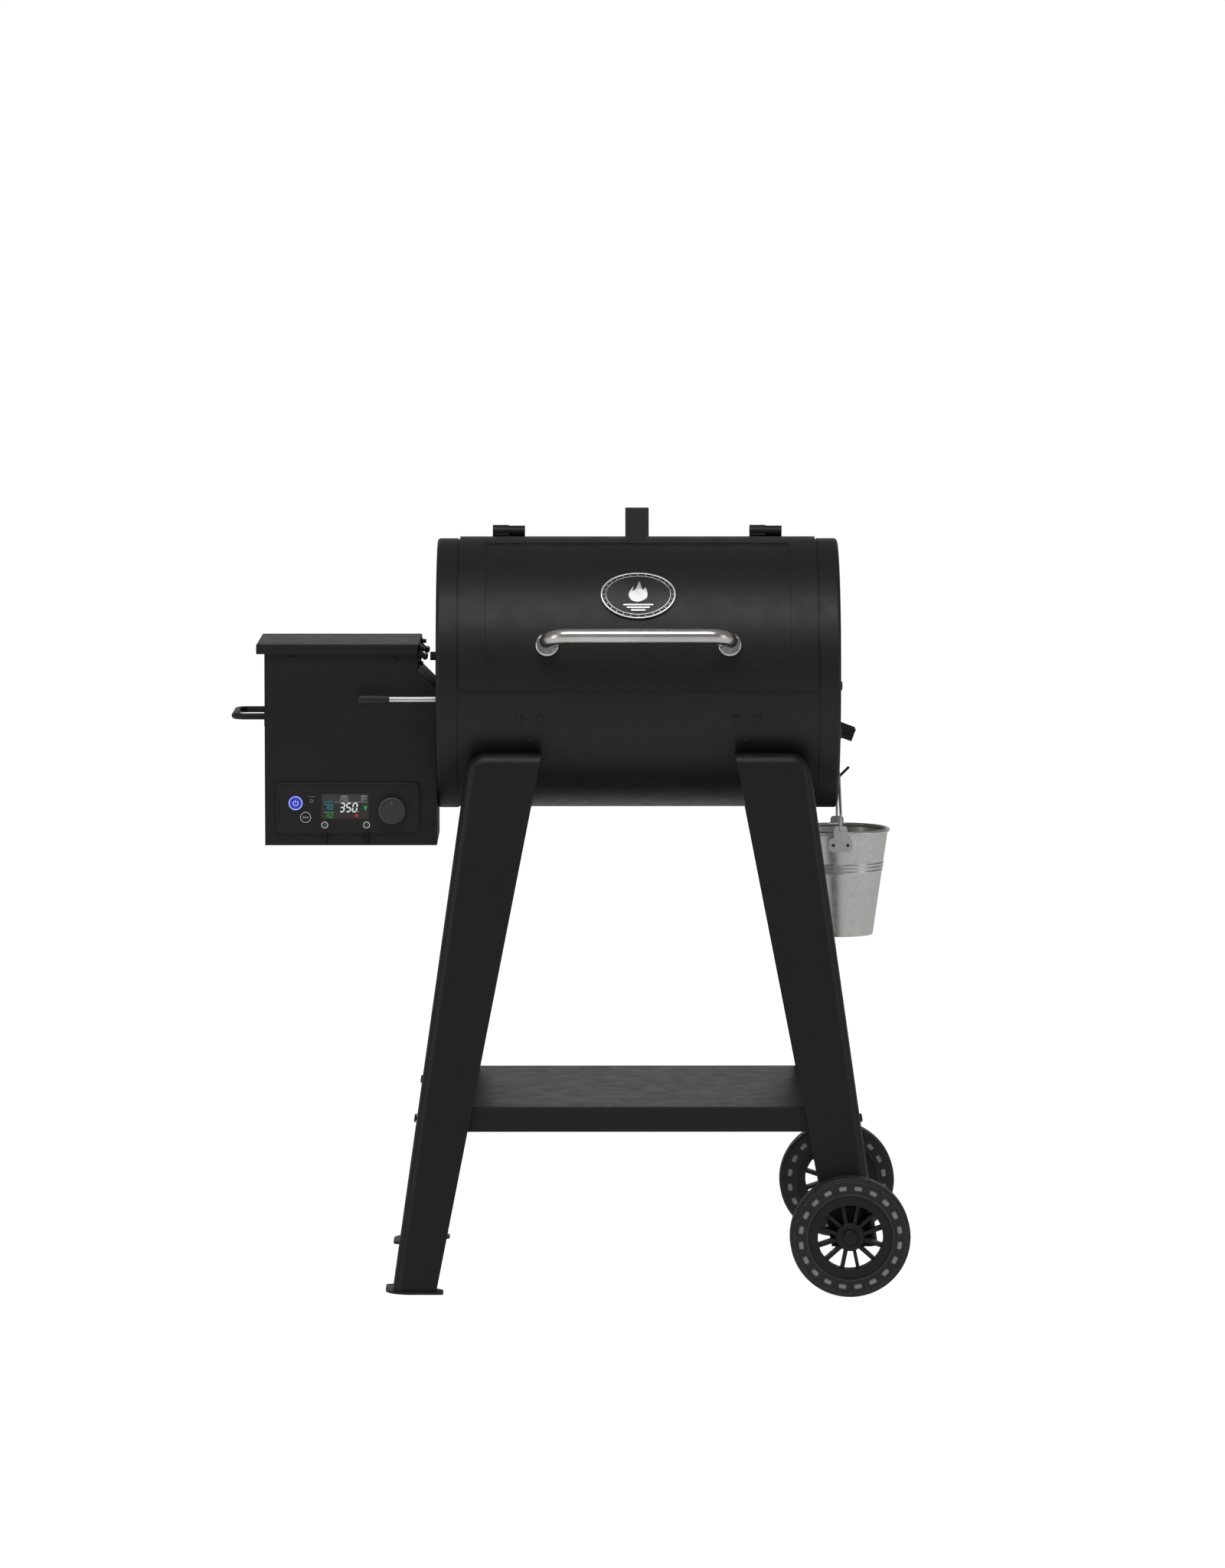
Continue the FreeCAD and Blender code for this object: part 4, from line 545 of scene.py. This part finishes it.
# ---- wheels -------------------------------------------------------------------------------
WINDOWS = 20
WINDOW_R = 73.4 * MM
WINDOW_SIZE = (11.2 * MM, 6.6 * MM)
WINDOW_CUT = 1.1 * MM     # cut of each pane's corners
PANE = 2.4 * MM
PANE_SUNK = 0.9 * MM
TICK_HALF = 0.4 * MM
TICK_DEEP = 0.4 * MM
TICK_START = 79.5 * MM
TICK_LONG = 4.5 * MM


def make_windows(body, tyre):
    """Panes set into both faces of the tyre's ring of windows, painted pale grey for the backdrop light
    seen through them.
    """
    centre = centre_of(tyre)
    low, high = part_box(tyre)
    shape = bmesh.new()
    half_w, half_h = (s / 2 for s in WINDOW_SIZE)
    cut_w = half_w - WINDOW_CUT
    cut_h = half_h - WINDOW_CUT
    corners = [
        (-half_w, -cut_h), (-cut_w, -half_h), (cut_w, -half_h), (half_w, -cut_h),
        (half_w, cut_h), (cut_w, half_h), (-cut_w, half_h), (-half_w, cut_h)]
    for k in range(WINDOWS):
        a = 2 * math.pi * (k + 0.5) / WINDOWS
        out = Vector((math.sin(a), 0, math.cos(a)))
        along = Vector((math.cos(a), 0, -math.sin(a)))
        for start in (low.y + PANE_SUNK, high.y - PANE_SUNK - PANE):
            middle = Vector((centre.x, start, centre.z)) + out * WINDOW_R
            add_prism(shape, [middle + along * u + out * v for u, v in corners], Y_DIR * PANE)
    piece(body + "_windows", body, BACKDROP_LIGHT_PANE, shape)


def make_tyre_lines(body, tyre):
    """Moulded lines round the outer sidewall, and short ticks from the outer line to the tread, in pale
    rubber: a painted highlight on the tyre's shoulder.
    """
    centre = centre_of(tyre)
    low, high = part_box(tyre)
    side = -1 if centre.y < 0 else 1
    face = low.y if side < 0 else high.y
    outwards = Y_DIR * side
    shape = bmesh.new()
    root = 0.3
    for radius, half, rise in ((64.0, 0.6, 0.3), (83.2, 0.45, 0.25)):
        foot = Vector((centre.x, face - side * root * MM, centre.z))
        section = [(radius - half, 0.0), (radius + half, 0.0), (radius + half / 2, root + rise),
                   (radius - half / 2, root + rise)]
        add_lathe(shape, foot, outwards, [(r * MM, h * MM) for r, h in section], 120)
    for k in range(WINDOWS):
        a = 2 * math.pi * k / WINDOWS
        out = Vector((math.sin(a), 0, math.cos(a)))
        along = Vector((math.cos(a), 0, -math.sin(a)))
        start = Vector((centre.x, face + side * 0.1 * MM, centre.z)) + out * TICK_START
        half = along * TICK_HALF
        reach = out * TICK_LONG
        add_prism(shape, [start - half, start + half, start + half + reach, start - half + reach],
                  outwards * -TICK_DEEP)
    # The pale rubber paints the shoulder highlight.
    piece(body + "_sidewall_highlight_lines", body, SHOULDER_HIGHLIGHT_RUBBER, shape)


# ---- control panel ------------------------------------------------------------------------
SEGMENTS = {
    "0": "abcdef", "1": "bc", "2": "abged", "3": "abgcd", "4": "fgbc",
    "5": "afgcd", "6": "afgecd", "7": "abc", "8": "abcdefg", "9": "abcdfg",
}
SLANT = 0.14
PRINT = 0.12 * MM         # thickness of printed marks and figures
LAMP_POINTS = 10
# Radius and height of the rubber plug, in mm.
PLUG_PROFILE = (
    (0.2, 0.0), (2.2, 0.0), (2.6, 0.5), (2.6, 4.0),
    (3.8, 4.6), (3.8, 8.6), (3.2, 9.4), (0.2, 9.4))


def add_digit(shape, figure, left, low, width, height, y, stroke):
    """One slanted seven-segment figure in the panel's plane."""
    w = width - stroke
    h = (height - stroke) / 2
    ends = {
        "a": ((0, 2 * h), (w, 2 * h)), "b": ((w, h), (w, 2 * h)), "c": ((w, 0), (w, h)),
        "d": ((0, 0), (w, 0)), "e": ((0, 0), (0, h)), "f": ((0, h), (0, 2 * h)), "g": ((0, h), (w, h)),
    }
    half = stroke / 2
    gap = stroke * 0.12
    for name in SEGMENTS[figure]:
        a, b = (Vector(p) for p in ends[name])
        along = (b - a).normalized()
        side = Vector((-along.y, along.x)) * half
        a = a + along * gap
        b = b - along * gap
        loop = (a, a + along * half + side, b - along * half + side, b, b - along * half - side,
                a + along * half - side)
        outline = []
        for p in loop:
            z = low + half + p.y
            x = left + half + p.x + SLANT * (p.y + half)
            outline.append(Vector((x, y, z)))
        add_prism(shape, outline, Y_DIR * PRINT)


def add_number(shape, text, left, right, low, high, y, stroke):
    """Figures spread evenly between left and right."""
    height = high - low
    room = right - left - SLANT * height
    pitch = room / len(text)
    for k, figure in enumerate(text):
        add_digit(shape, figure, left + pitch * k, low, pitch * 0.84, height, y, stroke)


def rectangle(x0, x1, z0, z1, y):
    return [Vector((x0, y, z0)), Vector((x1, y, z0)), Vector((x1, y, z1)), Vector((x0, y, z1))]


def make_screen():
    """What the display shows: three temperatures, two probe readings and a row of lamps."""
    low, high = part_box("control_display")
    y = low.y - PRINT
    thin = Y_DIR * 0.1 * MM
    small = 0.62 * MM
    medium = 0.68 * MM
    width = high.x - low.x
    height = high.z - low.z

    def across(u):
        return low.x + u * width

    def down(v):
        return high.z - v * height

    white = glowing("screen_white", (0.80, 0.82, 0.82), 0.55)
    grey = glowing("screen_grey", (0.34, 0.34, 0.34), 0.5)
    band = glowing("screen_band", (0.045, 0.047, 0.05), 0.35)
    teal = glowing("screen_teal", (0.03, 0.24, 0.28), 0.7)
    green = glowing("screen_green", (0.04, 0.30, 0.06), 0.7)
    red = glowing("screen_red", (0.60, 0.02, 0.02), 0.7)
    dim_red = glowing("screen_dim_red", (0.11, 0.008, 0.012), 0.5)

    def bar(shape, u0, u1, v0, v1, front=y):
        add_prism(shape, rectangle(across(u0), across(u1), down(v0), down(v1), front), thin)

    def number(shape, text, u0, u1, v0, v1, stroke, front=y):
        add_number(shape, text, across(u0), across(u1), down(v0), down(v1), front, stroke)

    shape = bmesh.new()
    bar(shape, 0.03, 0.98, 0.30, 0.05)
    piece("screen_top_band", "grill_frame", band, shape)

    shape = bmesh.new()
    number(shape, "350", 0.375, 0.80, 0.74, 0.355, 2.0 * MM)
    piece("screen_set_temperature", "grill_frame", white, shape)

    shape = bmesh.new()
    number(shape, "250", 0.39, 0.59, 0.29, 0.15, small, y - PRINT)
    number(shape, "84", 0.84, 0.97, 0.29, 0.15, small, y - PRINT)
    bar(shape, 0.28, 0.98, 0.345, 0.33)
    for u in (0.42, 0.84):
        bar(shape, u, u + 0.13, 0.115, 0.085, y - 0.1 * MM)
    degree = Vector((across(0.775), y + 0.1 * MM, down(0.71)))
    add_ring(shape, degree, -Y_DIR, 0.55 * MM, 1.0 * MM, PRINT, 20)
    piece("screen_actual_temperature", "grill_frame", grey, shape)

    shape = bmesh.new()
    number(shape, "150", 0.07, 0.26, 0.64, 0.475, medium)
    bar(shape, 0.05, 0.26, 0.345, 0.325)
    bar(shape, 0.05, 0.26, 0.44, 0.42)
    piece("screen_probe_one", "grill_frame", teal, shape)

    shape = bmesh.new()
    number(shape, "150", 0.07, 0.26, 0.96, 0.80, medium)
    bar(shape, 0.05, 0.27, 0.75, 0.725)
    arrow = [(0.89, 0.49), (0.975, 0.49), (0.955, 0.56), (0.945, 0.66), (0.915, 0.66), (0.91, 0.56)]
    add_prism(shape, [Vector((across(u), y, down(v))) for u, v in arrow], thin)
    piece("screen_probe_two", "grill_frame", green, shape)

    shape = bmesh.new()
    lit = bmesh.new()
    for k, u in enumerate((0.415, 0.565, 0.745, 0.91)):
        target = lit if k == 2 else shape
        loop = []
        for t in range(LAMP_POINTS):
            a = 2 * math.pi * t / LAMP_POINTS
            reach = 1.0 if t % 2 else 0.72
            x = across(u) + 2.9 * MM * reach * math.cos(a)
            loop.append(Vector((x, y, down(0.87) + 2.5 * MM * reach * math.sin(a))))
        add_prism(target, loop, thin)
    piece("screen_lamps", "grill_frame", dim_red, shape)
    piece("screen_lit_lamp", "grill_frame", red, lit)


def button_front(node):
    """Middle of a round button's front face, and its radius."""
    low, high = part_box(node)
    return Vector(((low.x + high.x) / 2, low.y, (low.z + high.z) / 2)), (high.x - low.x) / 2


def flat(middle, points):
    """Points given in mm about the middle, in the panel's plane."""
    return [middle + Vector((u * MM, 0, v * MM)) for u, v in points]


def make_power_mark():
    """Edge ring and the open ring with a stroke that marks the power button."""
    power, radius = button_front("power_button")
    shape = bmesh.new()
    add_ring(shape, power, -Y_DIR, radius - 1.9 * MM, radius - 0.9 * MM, PRINT, 64)
    steps = 40
    opening = math.radians(38)
    sweep = 2 * math.pi - 2 * opening
    r_in, r_out = 3.3, 4.15
    for k in range(steps):
        a = math.pi / 2 + opening + sweep * k / steps
        b = math.pi / 2 + opening + sweep * (k + 1) / steps
        corners = ((a, r_in), (a, r_out), (b, r_out), (b, r_in))
        quad = [(r * math.cos(t), r * math.sin(t)) for t, r in corners]
        add_prism(shape, flat(power, quad), Y_DIR * -PRINT)
    stroke_half, stroke_low, stroke_high = 0.45, 0.8, 5.0
    stroke = [(-stroke_half, stroke_low), (stroke_half, stroke_low),
              (stroke_half, stroke_high), (-stroke_half, stroke_high)]
    add_prism(shape, flat(power, stroke), Y_DIR * -PRINT)
    piece("power_mark", "power_button", glowing("power_mark_light", (0.74, 0.78, 0.98), 0.6), shape)


def make_prime_mark():
    """Edge ring and three chevrons on the prime button."""
    prime, radius = button_front("prime_button")
    shape = bmesh.new()
    add_ring(shape, prime, -Y_DIR, radius - 1.8 * MM, radius - 0.9 * MM, PRINT, 56)
    chevron = ((-1.0, -1.3), (0.2, -1.3), (1.2, 0), (0.2, 1.3), (-1.0, 1.3), (0.0, 0.0))
    for k in (-1, 0, 1):
        middle = prime + X_DIR * (3.1 * k * MM)
        add_prism(shape, flat(middle, chevron), Y_DIR * -PRINT)
    piece("prime_mark", "prime_button", WHITE_PRINT, shape)


def make_status_lamp():
    """Lamp beside the power button, its ring, and three short bars over it."""
    power, _ = button_front("power_button")
    lamp = Vector((power.x + 23.7 * MM, PANEL_FACE, power.z + 3.1 * MM))
    lens_r = 1.7 * MM
    shape = bmesh.new()
    add_ring(shape, lamp, -Y_DIR, 1.9 * MM, 2.6 * MM, 0.5 * MM, 40)
    for k in (-1, 0, 1):
        middle = lamp + Vector((3.2 * k * MM, 0, 6.6 * MM))
        add_prism(shape, flat(middle, ((-1.1, -0.35), (1.1, -0.35), (1.1, 0.35), (-1.1, 0.35))),
                  Y_DIR * -0.1 * MM)
    piece("lamp_ring", "grill_frame", printed("lamp_ring_print", (0.46, 0.46, 0.46)), shape)
    shape = bmesh.new()
    add_dome(shape, lamp, -Y_DIR, lens_r, 0.9 * MM)
    piece("status_lamp", "grill_frame", moulded("lamp_lens", (0.012, 0.012, 0.013), 0.12, 0.2), shape)


def make_jack_trim():
    """White rings round the probe sockets, and the rubber plugs that hang below them on straps."""
    low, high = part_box("probe_jacks")
    middle_z = (low.z + high.z) / 2
    collar = 5.2 * MM
    inner = 3.7 * MM
    hole = 1.85 * MM
    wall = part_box("hopper_housing")[0].y
    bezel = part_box("control_bezel")[0]
    covers = bmesh.new()
    rings = bmesh.new()
    for x in (low.x + collar, high.x - collar):
        socket = Vector((x, low.y, middle_z))
        add_ring(rings, socket, -Y_DIR, inner, collar, 0.2 * MM, 48)
        add_ring(covers, socket, -Y_DIR, hole, inner, PRINT, 48)
        strap = [
            Vector((x, low.y - 0.2 * MM, middle_z - 5.2 * MM)),
            Vector((x, bezel.y - 0.8 * MM, middle_z - 9.0 * MM)),
            Vector((x, bezel.y - 1.0 * MM, bezel.z + 0.5 * MM)),
            Vector((x, wall - 4.2 * MM, bezel.z - 4.0 * MM)),
            Vector((x, wall - 4.0 * MM, bezel.z - 7.0 * MM)),
        ]
        add_bar(covers, strap, X_DIR, 3.4 * MM, 1.0 * MM)
        plug = Vector((x, wall - 4.0 * MM, bezel.z - 16.0 * MM))
        add_lathe(covers, plug, Z_DIR, [(r * MM, h * MM) for r, h in PLUG_PROFILE], 28)
    piece("jack_rings", "grill_frame", WHITE_PRINT, rings)
    piece("jack_covers", "grill_frame", SOFT_RUBBER, covers)


def make_knob_trim():
    """Grip ribs round the dial, its printed pointer line and a pale ring behind its front edge, a painted
    highlight of the rim.
    """
    knob, radius = button_front("control_knob")
    ribs = 60
    rib_half = 0.45 * MM
    shape = bmesh.new()
    for k in range(ribs):
        a = 2 * math.pi * k / ribs
        out = Vector((math.cos(a), 0, math.sin(a)))
        along = Vector((-math.sin(a), 0, math.cos(a))) * rib_half
        start = knob + Y_DIR * 2.4 * MM + out * (radius - 0.15 * MM)
        add_prism(shape, [start - along, start + out * rib_half, start + along], Y_DIR * 8.4 * MM)
    piece("knob_grip_ribs", "knob", FINISH["knob_plastic"], shape)
    shape = bmesh.new()
    pointer = ((-0.45, 9.5), (0.45, 9.5), (0.45, 13.5), (-0.45, 13.5))
    add_prism(shape, flat(knob + Y_DIR * 0.8 * MM, pointer), Y_DIR * -PRINT)
    # Pale ring round the dial's rim: a painted highlight.
    rim_y = 1.4 * MM
    add_ring(shape, knob + Y_DIR * rim_y, -Y_DIR, radius - 0.25 * MM, radius + 0.3 * MM, 0.4 * MM, 72)
    piece("knob_pointer_and_rim_highlight", "knob", GREY_PRINT_AND_RIM_HIGHLIGHT, shape)


# ---- small hardware -----------------------------------------------------------------------
def make_rivets():
    """Dark rivet heads on the bucket's ears."""
    low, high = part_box("bucket_ears")
    middle = (low + high) / 2
    apart = 10.8 * MM
    up = 10.5 * MM
    shape = bmesh.new()
    for y, out in ((low.y, -Y_DIR), (high.y, Y_DIR)):
        for side in (-1, 1):
            start = Vector((middle.x + side * apart, y, low.z + up))
            add_dome(shape, start, out, 2.3 * MM, 0.9 * MM, 24, 4)
    piece("bucket_rivet_heads", "bucket", FINISH["black_hardware"], shape)


def make_floor():
    """A pale floor that runs back into the white surround."""
    size = 30.0
    mesh = bpy.data.meshes.new("floor")
    half = size / 2
    mesh.from_pydata(
        [(-half, -half, 0), (half, -half, 0), (half, half, 0), (-half, half, 0)], [], [(0, 1, 2, 3)])
    floor = bpy.data.objects.new("floor", mesh)
    bpy.context.scene.collection.objects.link(floor)
    s = Surface("pale_floor", Roughness=0.8, Specular_IOR_Level=0.0, Emission_Strength=1.0)
    s.shader.inputs["Emission Color"].default_value = (1, 1, 1, 1)
    colour = s.blend(s.spread(s.noise(3.0, 2.0), 0.0, 1.0), (0.22, 0.22, 0.22), (0.24, 0.24, 0.24))
    floor.data.materials.append(s.done(colour))
    floor.visible_diffuse = False
    floor.visible_glossy = False


# ---- studio -------------------------------------------------------------------------------
# Brightness of the surroundings, from straight down (0) over the horizon (0.5) to straight up (1).
SURROUND = ((0.0, 0.60), (0.41, 0.52), (0.50, 0.24), (0.60, 0.15), (1.0, 0.20))


def add_softbox(name, place, aim, width, height, radiance):
    """A rectangular light; its power comes from the brightness that its face shows."""
    light = bpy.data.lights.new(name, "AREA")
    light.shape = "RECTANGLE"
    light.size = width
    light.size_y = height
    light.energy = radiance * math.pi * width * height
    lamp = bpy.data.objects.new(name, light)
    bpy.context.scene.collection.objects.link(lamp)
    lamp.location = place
    lamp.rotation_mode = "QUATERNION"
    lamp.rotation_quaternion = (Vector(aim) - Vector(place)).to_track_quat("-Z", "Y")
    lamp.visible_camera = False
    return lamp


def make_studio():
    """White backdrop for the camera, a grey gradient for everything else, and four softboxes."""
    world = bpy.data.worlds.new("studio")
    bpy.context.scene.world = world
    world.use_nodes = True
    tree = world.node_tree
    surround = tree.nodes["Background"]
    surround.inputs["Strength"].default_value = 1.0
    direction = tree.nodes.new("ShaderNodeTexCoord")
    height = tree.nodes.new("ShaderNodeSeparateXYZ")
    shade = tree.nodes.new("ShaderNodeValToRGB")
    lift = tree.nodes.new("ShaderNodeMath")
    lift.operation = "MULTIPLY_ADD"
    lift.inputs[1].default_value = 0.5
    lift.inputs[2].default_value = 0.5
    tree.links.new(direction.outputs["Generated"], height.inputs[0])
    tree.links.new(height.outputs["Z"], lift.inputs[0])
    tree.links.new(lift.outputs[0], shade.inputs["Fac"])
    stops = shade.color_ramp.elements
    while len(stops) < len(SURROUND):
        stops.new(0.5)
    for stop, (at, grey) in zip(stops, SURROUND):
        stop.position = at
        stop.color = (grey, grey, grey, 1)
    tree.links.new(shade.outputs["Color"], surround.inputs["Color"])
    backdrop = tree.nodes.new("ShaderNodeBackground")
    backdrop.inputs["Color"].default_value = (1, 1, 1, 1)
    backdrop.inputs["Strength"].default_value = 1.0
    path = tree.nodes.new("ShaderNodeLightPath")
    chooser = tree.nodes.new("ShaderNodeMixShader")
    tree.links.new(path.outputs["Is Camera Ray"], chooser.inputs[0])
    tree.links.new(surround.outputs[0], chooser.inputs[1])
    tree.links.new(backdrop.outputs[0], chooser.inputs[2])
    tree.links.new(chooser.outputs[0], tree.nodes["World Output"].inputs["Surface"])
    aim = (BARREL.x, 0, 0.85)
    add_softbox("key", (BARREL.x - 0.2, -2.15, 4.2), aim, 3.6, 1.7, 2.7)
    add_softbox("left_fill", (-3.4, -2.0, 1.5), aim, 1.2, 2.4, 1.4)
    add_softbox("right_fill", (3.8, -1.8, 1.5), aim, 1.2, 2.4, 1.1)
    add_softbox("back_strip", (0.0, 3.6, 1.3), aim, 6.0, 1.6, 0.42)


def make_camera():
    """Long lens, well above the lid, looking down a little."""
    tilt_down = 5.4165
    turn_right = 0.239
    camera = bpy.data.objects.new("camera", bpy.data.cameras.new("camera"))
    bpy.context.scene.collection.objects.link(camera)
    camera.data.sensor_width = 36.0
    camera.data.lens = 165.2
    camera.data.clip_end = 100.0
    camera.location = (BARREL.x - 0.0825, -10.8, 1.7567)
    camera.rotation_euler = (math.radians(90 - tilt_down), 0, math.radians(-turn_right))
    bpy.context.scene.camera = camera


bpy.context.scene.view_settings.view_transform = "Standard"
dress_frame()
make_badge()
for wheel in ("front_wheel", "rear_wheel"):
    make_windows(wheel, wheel + "_tyre")
    make_tyre_lines(wheel, wheel + "_tyre")
make_screen()
make_power_mark()
make_prime_mark()
make_status_lamp()
make_jack_trim()
make_knob_trim()
make_rivets()
make_floor()
make_studio()
make_camera()
